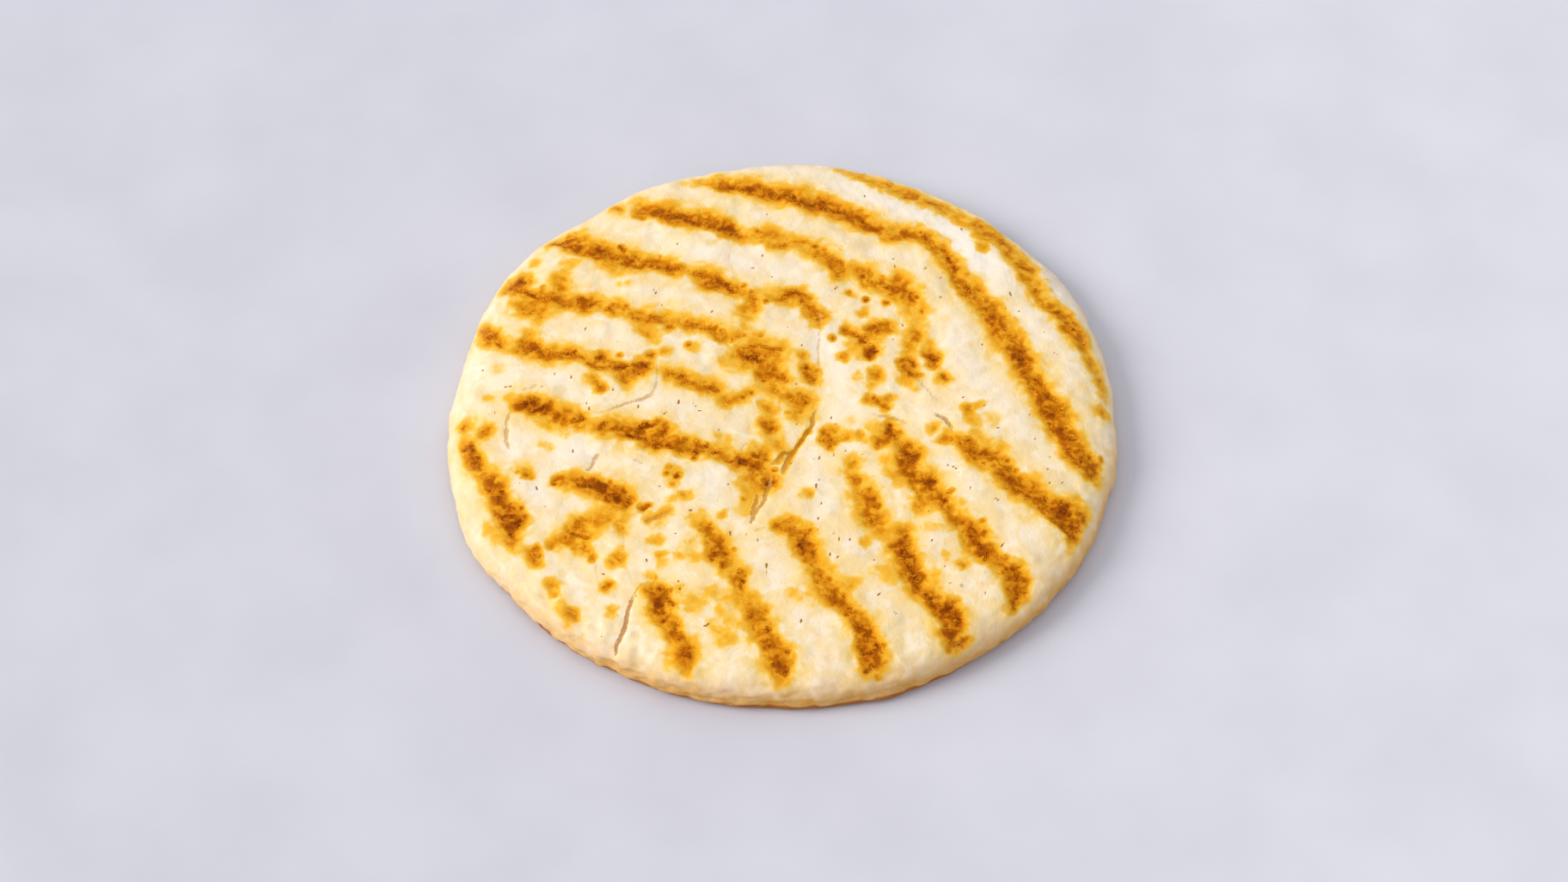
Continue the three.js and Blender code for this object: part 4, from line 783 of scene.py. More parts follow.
# %% Charred flecks of the spots
CHARS_SPOTS = [
    [(16.2, 26, 0.6, 0.92)], [(18.2, 24.6, 0.4, 0.86), (19.6, 23.4, 0.4, 0.88)],
    [(20.2, 21.8, 0.7, 1.0), (21.2, 21.4, 0.5, 0.97)], [(22.4, 18.3, 0.7, 1.0), (23.8, 18, 0.7, 1.0)],
    [(22, 16.8, 0.5, 1.0), (22.3, 15.5, 0.3, 0.9)], [(22.2, 26, 0.4, 0.82)], [(21.4, 23.6, 0.4, 0.84)],
    [(24.4, 26, 0.5, 0.7)], [(27, 26.6, 0.5, 0.68)], [(16.4, 16.4, 0.5, 0.64)],
    [(23.4, 10.4, 0.7, 0.68)], [(23.4, 3.6, 0.4, 0.84)], [(25, 2.4, 0.3, 0.72)], [(25.4, 1, 0.3, 0.74)],
    [(26.8, 0, 0.3, 0.74)], [(10.4, -7, 0.5, 0.7), (11.4, -8, 0.6, 0.88)], [(12.6, -6.4, 0.3, 0.66)],
    [(12.8, -9.4, 0.5, 0.84)], [(12, -10.6, 0.5, 0.72)], [(13.4, -10.6, 0.5, 0.78)],
    [(16.9, -8.9, 0.4, 0.7)], [(20.1, -8.1, 0.3, 0.66)], [(17.2, 38.4, 0.5, 0.68)],
    [(21.5, 35.8, 0.5, 1.0)],
    [(30.2, 15.2, 0.4, 0.84), (31.6, 16, 0.4, 0.86), (33.2, 15, 0.5, 0.86), (34, 13.4, 0.5, 0.78)],
    [(31.2, 13.2, 0.4, 0.74)], [(31.4, 11.8, 0.5, 0.76)], [(33, 11.6, 0.5, 0.76)],
    [(34.4, 10.9, 0.5, 0.76), (35.4, 10.6, 0.4, 0.72)],
    [(37, 17.2, 0.4, 0.86), (38, 17, 0.8, 1.0), (38.8, 15.8, 0.6, 0.95)], [(39.6, 13.6, 0.4, 0.72)],
    [(41.3, 10.2, 0.5, 0.93), (41.8, 9.2, 0.3, 0.76)], [(47.8, -1, 0.4, 0.64)],
    [(38.4, -6.4, 0.4, 0.6)], [(13, 22.7, 0.5, 0.76)], [(27, 34.8, 0.4, 0.84)],
    [(7, -4.6, 0.1, 0.3), (5.2, -9, 0.2, 0.42), (3.4, -12.4, 0.2, 0.4), (1.6, -16, 0.1, 0.36),
     (0, -20, 0.1, 0.4)],
    [(6.5, -7, 0.2, 0.74)], [(5.1, -9.4, 0.3, 0.84), (4.5, -10.6, 0.2, 0.74)],
    [(-0.2, -13.6, 0.2, 0.55), (-1.3, -16.6, 0.1, 0.5)], [(2, -13.2, 0.2, 0.55), (0.8, -18, 0.1, 0.5)],
    [(69.4, -30.4, 1.3, 0.98), (71.6, -31.8, 1.0, 0.95)],
    [(74, -36.2, 0.5, 0.9), (72, -34.8, 0.5, 0.85)], [(-10.4, -16.2, 0.9, 1.0)],
    [(-7.2, -17.4, 0.7, 0.95)], [(-19.8, -11.6, 0.5, 1.0)], [(-4, -22.6, 0.8, 0.95)],
]
print("charred flecks of the spots:", len(CHARS_SPOTS))

# %% [markdown]
# All the strokes together give the heat of every place on the crust. The wide strokes fade over about 3 mm,
# the golden halo beside a grill mark, and a faint glow of them runs on to about 9 mm. The flecks stop
# within 1.5 mm, and where many lie close together on a warm place, the crust between them is browner.

# %% Heat of the crust
BAR_HALO_MM = 2.9
SPOT_HALO_MM = 2.4
CHAR_HALO_MM = 1.5
SCORCH_HALO_MM = 3.0
SCORCH_SHARE = 0.45  # of a place beside one fleck
FLECK_SHAKE = 0.45  # share of the bars' shake that the flecks' edges get
SCORCH_HEAT = 0.20
BAR_GLOW = 0.27
SPOT_GLOW = 0.15
heat = np.zeros(count)
for strokes, halo, glow in (
    (BARS_BACK + BARS_MIDDLE + BARS_FRONT, BAR_HALO_MM, BAR_GLOW),
    (SPOTS, SPOT_HALO_MM, SPOT_GLOW),
):
    for stroke in strokes:
        heat = np.maximum(heat, stroke_heat(shaken, stroke, halo, glow))
bar_heat = heat.copy()
finely_shaken = plan + FLECK_SHAKE * (shaken - plan)
char = np.zeros(count)
unscorched = np.ones(count)
for stroke in CHARS_BACK + CHARS_MIDDLE + CHARS_FRONT + CHARS_SPOTS:
    char = np.maximum(char, stroke_heat(finely_shaken, stroke, CHAR_HALO_MM))
    unscorched *= 1 - SCORCH_SHARE * stroke_heat(finely_shaken, stroke, SCORCH_HALO_MM)
scorch = 1 - unscorched
bar_heat += SCORCH_HEAT * scorch * ease(0.1, 0.45, bar_heat)
print("share of the skin hotter than 0.4:", round(float(np.mean(bar_heat > 0.4)), 3))
print("share charred:", round(float(np.mean(char > 0.6)), 3))

# %% [markdown]
# The marks fade out where the crust turns down over the rim, except at the left, where they run off the
# edge.

# %% Marks stop at the rim
RIM_FADE_MM = (82, 86.5)  # the reach over which the marks fade
RIM_FADE_SHARE = 0.85  # of their heat
LEFT_OPEN_AT = 165  # direction, in degrees, of the stretch that keeps its marks
LEFT_OPEN_WIDTH = 22
around = np.degrees(np.arctan2(rest_mm[:, 1], rest_mm[:, 0])) % 360
off_the_iron = ease(*RIM_FADE_MM, np.hypot(plan[:, 0], plan[:, 1]))
off_the_iron *= 1 - bell(around - LEFT_OPEN_AT, LEFT_OPEN_WIDTH)
bar_heat *= 1 - RIM_FADE_SHARE * off_the_iron
bar_heat *= facing_up
char *= facing_up
print("flank kept clear:", round(float(np.mean(off_the_iron > 0.5)), 3), "of the skin")

# %% [markdown]
# Loose flour was left lying in a few places, mostly in the wide gap at the back right. It is laid with the
# same brush, with a wide halo: x, y, half width, amount.

# %% Flour
FLOUR_HALO_MM = 5.0
FLOUR = [
    [(12, 80, 2.0, 0.4), (26, 72, 2.5, 0.8), (40, 63.5, 3.0, 1.0), (48, 55, 3.0, 1.0),
     (54, 47, 2.5, 0.9), (57, 41, 2.0, 0.5)],
    [(69, 47, 2.0, 0.7), (73, 41, 2.5, 0.9), (77, 34, 1.5, 0.5)],
    [(63, 31, 2.0, 0.6), (66, 24, 2.0, 0.5)],
    [(-20, 52, 3.0, 0.4), (-8, 50, 3.0, 0.4)],
    [(-52, -12, 4.0, 0.5), (-60, -26, 2.5, 0.5)],
    [(4, 44, 3.0, 0.4), (14, 12, 3.0, 0.5)],
    [(-18, -22, 4.0, 0.4)],
]
flour = np.zeros(count)
for stroke in FLOUR:
    flour = np.maximum(flour, stroke_heat(shaken, stroke, FLOUR_HALO_MM))
print("floury share of the skin:", round(float(np.mean(flour > 0.3)), 3))

# %% [markdown]
# The crust has folds and cracks. Each is a narrow groove, and most have one side standing a little higher,
# which catches the light. Each point is x, y, half width of the groove, depth, and the step up on its
# right-hand side. Depths and steps are in mm, and a share of each is laid on, which keeps them shallow.

# %% Creases
CREASES = [
    [(9.5, 1.5, 0.4, 0.2, -0.3), (8, -3, 0.5, 0.5, -0.7), (5.6, -8.6, 0.6, 0.6, -0.9),
     (3, -13, 0.6, 0.6, -0.7), (0.8, -16.4, 0.5, 0.5, -0.4), (0, -20.4, 0.3, 0.3, -0.1)],
    [(-3.4, -18, 0.3, 0.2, 0), (-1.4, -15.4, 0.4, 0.4, -0.3), (0.4, -13.4, 0.3, 0.3, -0.2),
     (1.8, -14.4, 0.3, 0.2, 0)],
    [(-3, -21, 0.4, 0.3, -0.3), (-4, -26, 0.5, 0.5, -0.6), (-5, -30, 0.5, 0.5, -0.6),
     (-7.4, -35.6, 0.5, 0.5, -0.3)],
    [(-6.4, -27, 0.3, 0.3, 0), (-7, -33, 0.3, 0.3, 0)],
    [(-6, -38.6, 0.3, 0.3, 0), (-4, -37.4, 0.3, 0.3, 0)],
    [(-33.6, 19, 0.4, 0.1, 0.1), (-31.8, 14, 0.5, 0.25, 0.3), (-31.6, 8, 0.5, 0.3, 0.35),
     (-33, 4.6, 0.4, 0.3, 0.3), (-36, 2.4, 0.4, 0.4, 0.3), (-40, 0.6, 0.4, 0.4, 0.3),
     (-44, -1.6, 0.4, 0.3, 0.2), (-48, -1.4, 0.4, 0.2, 0.1)],
    [(-41, -73, 0.4, 0.5, 0.4), (-40.4, -70, 0.5, 0.7, 0.7), (-38.4, -66, 0.6, 0.8, 0.9),
     (-38, -61, 0.5, 0.6, 0.8), (-36.6, -57, 0.6, 0.4, 0.6), (-33, -53.4, 0.8, 0.3, 0.4),
     (-26, -51.6, 0.9, 0.2, 0.3)],
    [(-69, -1, 0.3, 0.3, -0.2), (-70, -4, 0.4, 0.4, -0.3), (-69.8, -9, 0.4, 0.4, -0.3),
     (-68.8, -12.4, 0.3, 0.2, -0.1)],
    [(-33.6, -34.6, 0.4, 0.4, 0.4), (-30, -33.4, 0.4, 0.4, 0.4), (-26.6, -31, 0.4, 0.3, 0.3)],
    [(-39, -38, 0.6, 0.2, 0.2), (-39, -44, 0.6, 0.2, 0.2)],
    [(-46, -46.4, 0.4, 0.2, 0), (-45.6, -51, 0.4, 0.2, 0)],
    [(9.6, 32, 0.5, 0.3, -0.3), (9.8, 22, 0.6, 0.3, -0.35), (9.6, 14, 0.5, 0.3, -0.3),
     (10.6, 9, 0.4, 0.2, -0.1)],
    [(39.4, -2, 0.6, 0.5, 0.2), (41.4, -4.4, 0.6, 0.5, 0.2), (43.4, -8, 0.4, 0.3, 0.1)],
    [(23, -1.6, 0.5, 0.3, 0), (27.6, -3, 0.6, 0.4, 0), (31.4, -4.6, 0.5, 0.3, 0)],
    [(-14, 55, 0.5, 0.15, 0.1), (-13.6, 48, 0.6, 0.2, 0.15), (-12, 43, 0.5, 0.15, 0.1)],
    [(24, 35.6, 0.3, 0.2, 0), (29, 31.6, 0.3, 0.2, 0), (31.4, 27, 0.3, 0.2, 0)],
    [(34.6, 10, 0.4, 0.2, 0.1), (36.4, 7, 0.4, 0.3, 0.1), (39.8, 3, 0.4, 0.2, 0.1)],
    [(-49, -19, 0.5, 0.4, 0), (-47.6, -17, 0.6, 0.4, 0), (-46, -14.6, 0.4, 0.2, 0)],
    [(-37.6, -15.8, 0.3, 0.3, 0), (-35.4, -17.4, 0.3, 0.3, 0)],
    [(-65.4, 5.6, 0.3, 0.3, 0), (-63.4, 6, 0.3, 0.3, 0), (-62.4, 7.2, 0.3, 0.2, 0)],
    [(-11, -13.4, 0.3, 0.2, 0), (-10, -11.6, 0.3, 0.3, 0), (-8.4, -10.8, 0.3, 0.2, 0)],
    [(-8.2, -3, 0.4, 0.15, 0.1), (-8.4, -9.6, 0.4, 0.2, 0.1)],
    [(-28.4, -72, 0.8, 0.15, 0.2), (-29, -79, 0.8, 0.2, 0.2)],
]
STEP_REACH_MM = 5.0  # how far the raised side of a crease runs out
CREASE_REACH_MM = 1.8  # how far from its line a crease can be coloured
CREASE_DEPTH_SHARE = 0.6
CREASE_STEP_SHARE = 0.7
groove = np.zeros(count)
step = np.zeros(count)
crease_line = np.zeros(count)
crease_depth = np.zeros(count)
for crease in CREASES:
    points = np.array(crease, float)
    nearest = np.full(count, 1e9)
    raised = np.zeros(count)
    for start, end in zip(points[:-1], points[1:]):
        along = end[:2] - start[:2]
        away = finely_shaken - start[:2]
        share = np.clip(away @ along / (along @ along), 0, 1)
        gap = np.linalg.norm(away - share[:, None] * along, axis=1)
        side = np.sign(away[:, 1] * along[0] - away[:, 0] * along[1])
        width = start[2] + share * (end[2] - start[2])
        depth = start[3] + share * (end[3] - start[3])
        rise = start[4] + share * (end[4] - start[4])
        groove = np.maximum(groove, depth * bell(gap, width))
        crease_line = np.maximum(crease_line, np.clip(1 - gap / CREASE_REACH_MM, 0, 1))
        crease_depth = np.maximum(crease_depth, depth * (gap < 1.5 * CREASE_REACH_MM))
        taper = np.exp(-gap / STEP_REACH_MM) * ease(0.1, 0.9, gap)
        closer = gap < nearest
        raised[closer] = (0.5 * rise * taper * -side)[closer]
        nearest = np.minimum(nearest, gap)
    step += raised
groove *= facing_up
crease_line *= facing_up
step *= facing_up
deepest_mm = CREASE_DEPTH_SHARE * float(groove.max())
print("creases:", len(CREASES), "deepest, mm:", round(deepest_mm, 2))

# %% [markdown]
# The crust has pinholes, most of them short and slanted, some round. The larger ones are listed one by
# one: x, y, half length and direction in degrees. They are kept as a cone of nearness, which the crust's
# material cuts off at a sharp edge.

# %% Pinholes
PINHOLES = [
    (12.7, -39.5, 0.5, 130), (14.1, -41.2, 0.5, 100), (16.8, -41.1, 0.4, 60), (11.7, -45.6, 0.8, 110),
    (13.7, -46.5, 0.4, 70), (8.6, -24.8, 1, 100), (8.3, -15.8, 0.4, 130), (9.4, -15.2, 0.4, 70),
    (4, -19, 0.5, 70), (4.7, -22, 0.4, 110), (2.1, -17, 0.4, 40), (5.4, -15.8, 0.3, 90),
    (9.2, -22.6, 0.4, 60), (7.4, -19.2, 0.3, 120), (12.4, -2.6, 0.5, 110), (13.6, -4.5, 0.6, 40),
    (16, -13.4, 0.3, 90), (13, -14.4, 0.3, 90), (20, -14.6, 0.4, 60), (20.8, -0.8, 0.3, 90),
    (3.3, 7.9, 0.4, 150), (3.9, -4.3, 0.4, 60), (28.6, 6.6, 0.4, 60), (14, 39.4, 0.7, 60),
    (21.6, 35.8, 0.7, 150), (-4, 65.2, 0.5, 60), (-5.2, 49.9, 0.3, 90), (22, 71.8, 0.5, 120),
    (41.3, 42.4, 0.4, 60), (41.2, 36, 0.4, 20), (38.9, 34.3, 0.4, 80), (59.3, 37.6, 0.7, 100),
    (57.8, 32.8, 0.4, 90), (61.4, 32, 0.4, 90), (51.7, 20.6, 0.5, 130), (67.4, 25.1, 0.4, 90),
    (70.2, 18.3, 0.6, 120), (77.8, 12.6, 0.6, 90), (71.1, 5.1, 0.5, 70), (53, 6, 0.4, 90),
    (51.4, 0.8, 0.6, 10), (62.6, -1.8, 0.5, 60), (64, -9.5, 0.4, 120), (54.5, -6.3, 0.4, 0),
    (67.2, -14.8, 0.3, 120), (66.6, -19, 0.3, 90), (70.2, -23.2, 0.6, 110), (66.7, -23.4, 0.4, 60),
    (41.7, -18.3, 0.5, 130), (43.2, -19, 0.8, 125), (44.4, -20.9, 0.3, 150), (46.9, -25.7, 0.3, 90),
    (53.6, -29, 0.7, 140), (54.3, -42.4, 0.6, 60), (49.6, -38.8, 0.5, 60), (40.1, -48.8, 0.3, 60),
    (41.4, -53.7, 0.6, 10), (44, -54.2, 0.4, 130), (49.7, -56.1, 0.4, 80), (27.6, -62.5, 0.5, 120),
    (23.8, -57, 0.6, 40), (22.5, -46.9, 0.4, 130), (4.7, -64.8, 0.7, 80), (8, -69.3, 0.4, 90),
    (-3.8, -49, 0.8, 90), (-4, -51, 0.4, 90), (1, -53, 0.4, 120), (-4.6, -56, 0.3, 90),
    (-5.9, -41.4, 0.4, 90), (-9, -39.2, 0.4, 90), (-12.8, -39, 0.9, 110), (-15.8, -29.4, 0.4, 110),
    (-22.7, -32.2, 0.6, 20), (-7.6, -35.7, 0.4, 30), (-13.4, -24.2, 0.3, 90), (-20, -24.8, 0.4, 120),
    (-17.3, -26.5, 0.3, 90), (-18.4, -66.2, 1, 30), (-25, -55.8, 0.4, 90), (-25.4, -53.6, 0.4, 60),
    (-30.9, -24.8, 0.5, 20), (-52.6, -13.4, 0.6, 100), (-48, -12, 0.4, 90), (-42.6, -17.3, 0.4, 90),
    (-54.4, -27.8, 0.3, 60), (-58.9, -30, 0.5, 30), (-61.4, -24.4, 0.7, 110), (-65.8, -23, 0.4, 90),
    (-36.6, 0.3, 0.7, 110), (-39.8, -3.9, 0.4, 90), (-49, -0.4, 0.7, 110), (-49.8, 1.4, 0.4, 90),
    (-43, 5.4, 0.4, 90), (-26.3, 1.5, 0.5, 90), (-23, 2, 0.4, 90), (-22.2, 0.6, 0.7, 120),
    (-20.8, -0.9, 0.4, 20), (-26, -0.7, 0.3, 90), (-29.6, -2, 0.5, 40), (-14.8, -3.4, 0.4, 100),
    (-15.9, -7, 0.3, 90), (-53.9, 9.6, 0.4, 90), (-58, 10.8, 0.4, 90), (-60.7, 10.8, 0.4, 90),
    (-61, 6.8, 0.4, 60), (-70.5, 7.3, 0.6, 160), (-69, 7.4, 0.5, 60), (-76.7, 13.5, 0.6, 40),
    (-76, 5.8, 0.4, 60), (-72.8, -0.8, 0.4, 120), (-50.8, 25.8, 0.4, 90), (-42.4, 21, 0.4, 20),
    (-44.4, 18.6, 0.3, 90), (-33, 37.5, 1, 110), (-31, 33, 0.7, 100), (-27.4, 53.9, 0.6, 100),
    (-18, 31, 0.5, 60), (-7.6, 45.6, 0.6, 150), (-2.6, 43, 0.5, 30), (29.2, 49.4, 0.5, 20),
    (29.6, 46.6, 0.6, 120), (37.4, 46.2, 0.7, 50), (47.3, 60.4, 0.6, 90), (28.4, 21.8, 0.5, 60),
    (31, 27, 0.6, 100), (-44, -68, 0.4, 90), (-36, -57.4, 0.4, 30), (-33.4, -47, 0.5, 90),
    (-44, -50.2, 0.4, 150), (-26.6, -39, 0.4, 30), (-83.2, -8.4, 0.4, 120), (81.8, -3.2, 0.4, 60),
    (35, -31.6, 0.4, 60), (36.6, -32.4, 0.3, 90), (37, -41.4, 0.5, 60), (9, -34.6, 0.7, 60),
    (8.6, -37.8, 0.4, 100), (9.8, -29.8, 0.5, 60), (18, -37.6, 0.5, 120), (28.6, -38.4, 0.4, 90),
    (9.6, 21.8, 0.7, 90), (1.6, 26, 0.4, 60), (5, 20, 0.3, 90), (60, 6, 0.3, 90), (46, 3.2, 0.3, 90),
    (34.6, -4.4, 0.4, 90),
]
PINHOLE_REACH_MM = 0.7
PINHOLE_LENGTH_SHARE = 0.7  # of the half length in the list
pinhole = np.zeros(count)
for x, y, half_length, direction in PINHOLES:
    turn = math.radians(direction)
    arm = np.array([math.cos(turn), math.sin(turn)]) * half_length * PINHOLE_LENGTH_SHARE
    near = np.nonzero(np.hypot(plan[:, 0] - x, plan[:, 1] - y) < PINHOLE_REACH_MM + half_length)[0]
    away = plan[near] - (x, y)
    share = np.clip(away @ arm / (arm @ arm), -1, 1)
    gap = np.linalg.norm(away - share[:, None] * arm, axis=1)
    wideness = min(0.65 + 0.35 * half_length / 0.7, 1.1)  # the longer ones are a little wider
    pinhole[near] = np.maximum(pinhole[near], np.clip(1 - gap / (PINHOLE_REACH_MM * wideness), 0, 1))
pinhole *= facing_up
print("pinholes placed:", len(PINHOLES))

# %% [markdown]
# Now the skin is pushed in and out along its own normals: soft swells of the dough, the grooves pressed by
# the bars, small blisters inside them, the creases, and fine wrinkles down the rim, which are deepest at
# the front left.

# %% Relief
BAR_DEPTH_MM = 0.42  # how far the grill bars are pressed in
CHAR_DEPTH_MM = 0.12
PINHOLE_DEPTH_MM = 0.06
CRINKLED_AT = 236  # direction, in degrees, where the rim is most wrinkled
CRINKLED_WIDTH = 14
radius_mm = np.hypot(rest_mm[:, 0], rest_mm[:, 1])
on_rim = ease(74, 82, radius_mm) * facing_up
raw = 1 - ease(0.15, 0.5, bar_heat)
relief = 0.24 * lumps(rest_mm, 15, 31) + 0.26 * lumps(rest_mm, 7, 32) + 0.13 * lumps(rest_mm, 3.2, 33)
relief += 0.06 * raw * lumps(rest_mm, 1.8, 34)
relief -= BAR_DEPTH_MM * ease(0.25, 0.66, bar_heat)
relief += ease(0.4, 0.7, bar_heat) * (0.16 * lumps(rest_mm, 2.4, 35) + 0.07 * lumps(rest_mm, 1.5, 36))
relief -= CHAR_DEPTH_MM * ease(0.7, 1, char)
relief -= CREASE_DEPTH_SHARE * groove
relief += CREASE_STEP_SHARE * step
relief -= PINHOLE_DEPTH_MM * ease(0.3, 0.8, pinhole)
rim_points = np.column_stack([rest_mm[:, 0], rest_mm[:, 1], rest_mm[:, 2] * 3.0])
wrinkles = 0.15 * lumps(rim_points, 4.0, 41) + 0.12 * lumps(rim_points, 2.0, 42)
crinkled = 1 + 1.6 * bell(around - CRINKLED_AT, CRINKLED_WIDTH)
relief += on_rim * crinkled * wrinkles
relief *= facing_up
print("relief, mm:", round(float(relief.min()), 2), "to", round(float(relief.max()), 2))

# %% [markdown]
# The relief is laid on along the skin's own normals. The underside gets dimples that only go inwards, and
# nothing goes below z = 0, so the loaf still rests on its flat foot.

# %% Push the skin
DIMPLED_RADIUS_MM = 80  # the dimples fade out just inside the foot
underside_share = 1 - ease(0.0, 0.6, rest_mm[:, 2])
dimples = 0.12 + 0.10 * lumps(rest_mm, 9, 51) + 0.06 * lumps(rest_mm, 3, 52)
inner = ease(0, 6, DIMPLED_RADIUS_MM - radius_mm)
moved_mm = rest_mm + normal * relief[:, None]
moved_mm[:, 2] += underside_share * inner * np.clip(dimples, 0, None)
moved_mm[:, 2] = np.maximum(moved_mm[:, 2], 0)
loaf.data.vertices.foreach_set("co", (moved_mm * MM).ravel())
loaf.data.update()
print("height span, mm:", moved_mm[:, 2].min().round(3), "to", moved_mm[:, 2].max().round(2))

# %% [markdown]
# The underside isn't seen while the loaf lies on a plate. It is given paler bars that run one way and come
# and go, as on a loaf that was grilled on both sides.

# %% Underside toast
BOTTOM_BAR_PITCH_MM = 15
BOTTOM_BAR_TURN = math.radians(62)
BOTTOM_HOTTEST = 0.62
across = rest_mm[:, 0] * math.sin(BOTTOM_BAR_TURN) + rest_mm[:, 1] * math.cos(BOTTOM_BAR_TURN)
across += 1.2 * lumps(rest_mm, 12, 61)
from_bar = np.abs((across / BOTTOM_BAR_PITCH_MM + 0.5) % 1 - 0.5) * BOTTOM_BAR_PITCH_MM
strength = 0.42 + 0.16 * lumps(rest_mm, 11, 62)
below = 1 - ease(0.2, 2.2, rest_mm[:, 2])
bottom_heat = below * (strength * (1 - ease(1.2, 4.4, from_bar)) * ease(0, 9, 82 - radius_mm))
bottom_heat = np.clip(bottom_heat, 0, BOTTOM_HOTTEST)
print("underside bars, hottest:", round(float(bottom_heat.max()), 2))

# %% [markdown]
# The foot of the rim has a thin brown fringe, stronger at the front and the front left than elsewhere. The
# band just above it is tinted beige, darker lower down, which is partly the rim's own colour and partly
# painted shade where the rim turns under.

# %% Toast at the foot
FRINGE = [  # direction in degrees, width in degrees, strength
    (200, 16, 0.15),
    (236, 16, 0.5),
    (262, 12, 0.42),
    (282, 12, 0.75),
    (292, 7, 0.5),
    (318, 14, 0.32),
    (75, 20, 0.3),
]
fringe_strength = 0.16 + 0.1 * lumps(rest_mm, 9, 71)
for at, width, strength_there in FRINGE:
    turn = (around - at + 180) % 360 - 180
    fringe_strength += strength_there * bell(turn, width)
height_mm = rest_mm[:, 2] + 0.5 * lumps(rest_mm, 2.2, 72)
toast = fringe_strength * (1 - ease(1.3, 3.0, height_mm)) * ease(74, 83, radius_mm)
# The flank mask is strongest low on the rim: partly the rim's own beige, partly painted shade where it
# turns under.
flank = (1 - ease(3.5, 10.0, height_mm)) * ease(72, 81, radius_mm)
print("toasted fringe, strongest:", round(float(toast.max()), 2))

# %% [markdown]
# What was worked out for each place is kept on the skin itself, so that the crust's material can read it.

# %% Keep the fields on the skin
for name, values in (
    ("bar_heat", np.maximum(bar_heat, bottom_heat)),
    ("char", char),
    ("crease_line", crease_line),
    ("crease_depth", crease_depth),
    ("pinhole", pinhole),
    ("toast", toast),
    ("flank", flank),
    ("flour", flour),
):
    field = loaf.data.attributes.new(name, "FLOAT", "POINT")
    field.data.foreach_set("value", values.astype(np.float32))
print("fields:", [a.name for a in loaf.data.attributes if a.data_type == "FLOAT"])

# %% [markdown]
# The skin is unrolled onto a square like two round labels: a large one for the crown and the rim, and a
# small one for the underside.

# %% Unrolled skin
TOP_CENTRE = np.array([0.405, 0.595])
TOP_RADIUS = 0.398
BOTTOM_CENTRE = np.array([0.862, 0.138])
BOTTOM_RADIUS = 0.132
TOP_REACH_MM = 105.0  # from the middle of the crown, over the rim, to the foot
BOTTOM_REACH_MM = 83
unit = rest_mm[:, :2] / np.maximum(radius_mm, 1e-6)[:, None]
rolled = radius_mm + np.where(radius_mm > 70, 0.75 * np.clip(9.5 - rest_mm[:, 2], 0, None), 0)
rolled += np.where(rest_mm[:, 2] < 5, 2 * np.clip(85.4 - radius_mm, 0, 6), 0) * ease(70, 80, radius_mm)
top_uv = TOP_CENTRE + unit * (np.clip(rolled, 0, TOP_REACH_MM) / TOP_REACH_MM * TOP_RADIUS)[:, None]
bottom_uv = BOTTOM_CENTRE + unit * (radius_mm / BOTTOM_REACH_MM * BOTTOM_RADIUS)[:, None] * (1, -1)
uv_layer = loaf.data.uv_layers.new(name="OFBake")
bottom_faces = 0
for face in loaf.data.polygons:
    corners = list(face.vertices)
    is_bottom = rest_mm[corners, 2].max() < 0.25 and radius_mm[corners].max() < 80
    bottom_faces += is_bottom
    chosen = bottom_uv if is_bottom else top_uv
    for loop, corner in zip(face.loop_indices, corners):
        uv_layer.data[loop].uv = chosen[corner]
print("unrolled;", bottom_faces, "faces on the underside's label")

# %% [markdown]
# The crust is one baked material. Its colours run from floury cream through butter and gold to orange brown
# and dark brown, in the order that dough takes them as it toasts, so one ramp driven by the heat makes all
# the marks, their halos and their charred hearts. Fine noise breaks the ramp up.

# %% Colour and node helpers
def linear(hex_colour):
    """A colour written as sRGB hex, as the linear RGBA that Blender takes."""
    channels = [int(hex_colour[i : i + 2], 16) / 255 for i in (1, 3, 5)]
    return (*[c / 12.92 if c <= 0.04045 else ((c + 0.055) / 1.055) ** 2.4 for c in channels], 1)


crust = bpy.data.materials.new("baked_crust")
crust.use_nodes = True
tree = crust.node_tree
tree.nodes.clear()


def node(kind, inputs=None, **settings):
    """Adds a node. An input is a value, or an output socket of another node, which is linked."""
    made = tree.nodes.new(kind)
    for name, value in settings.items():
        setattr(made, name, value)
    for key, value in (inputs or {}).items():
        if isinstance(value, bpy.types.NodeSocket):
            tree.links.new(value, made.inputs[key])
        else:
            made.inputs[key].default_value = value
    return made


def math_node(operation, *values):
    """The result of one sum on sockets or numbers."""
    return node("ShaderNodeMath", dict(enumerate(values)), operation=operation).outputs[0]


def climb(value, low, high, bottom=0.0, top=1.0):
    """A smooth climb from bottom to top while value goes from low to high."""
    made = node(
        "ShaderNodeMapRange",
        {"Value": value, "From Min": low, "From Max": high, "To Min": bottom, "To Max": top},
        interpolation_type="SMOOTHSTEP",
    )
    return made.outputs["Result"]


def field(name):
    """A field that the skin carries."""
    return node("ShaderNodeAttribute", attribute_name=name).outputs["Fac"]


place = node("ShaderNodeTexCoord").outputs["Object"]
place_mm = node("ShaderNodeVectorMath", {0: place, "Scale": 1000.0}, operation="SCALE").outputs[0]


def grain(size_mm, detail=3.0, roughness=0.55, distortion=0.0):
    """Noise from about -0.5 to 0.5 with grains of that size."""
    made = node(
        "ShaderNodeTexNoise",
        {
            "Vector": place_mm,
            "Scale": 1 / size_mm,
            "Detail": detail,
            "Roughness": roughness,
            "Distortion": distortion,
        },
    )
    return math_node("SUBTRACT", made.outputs["Fac"], 0.5)


def blend(amount, below, above):
    """Mixes the colour above over the one below, by an amount from 0 to 1."""
    made = node("ShaderNodeMix", {0: amount, 6: below, 7: above}, data_type="RGBA", blend_type="MIX")
    return made.outputs[2]
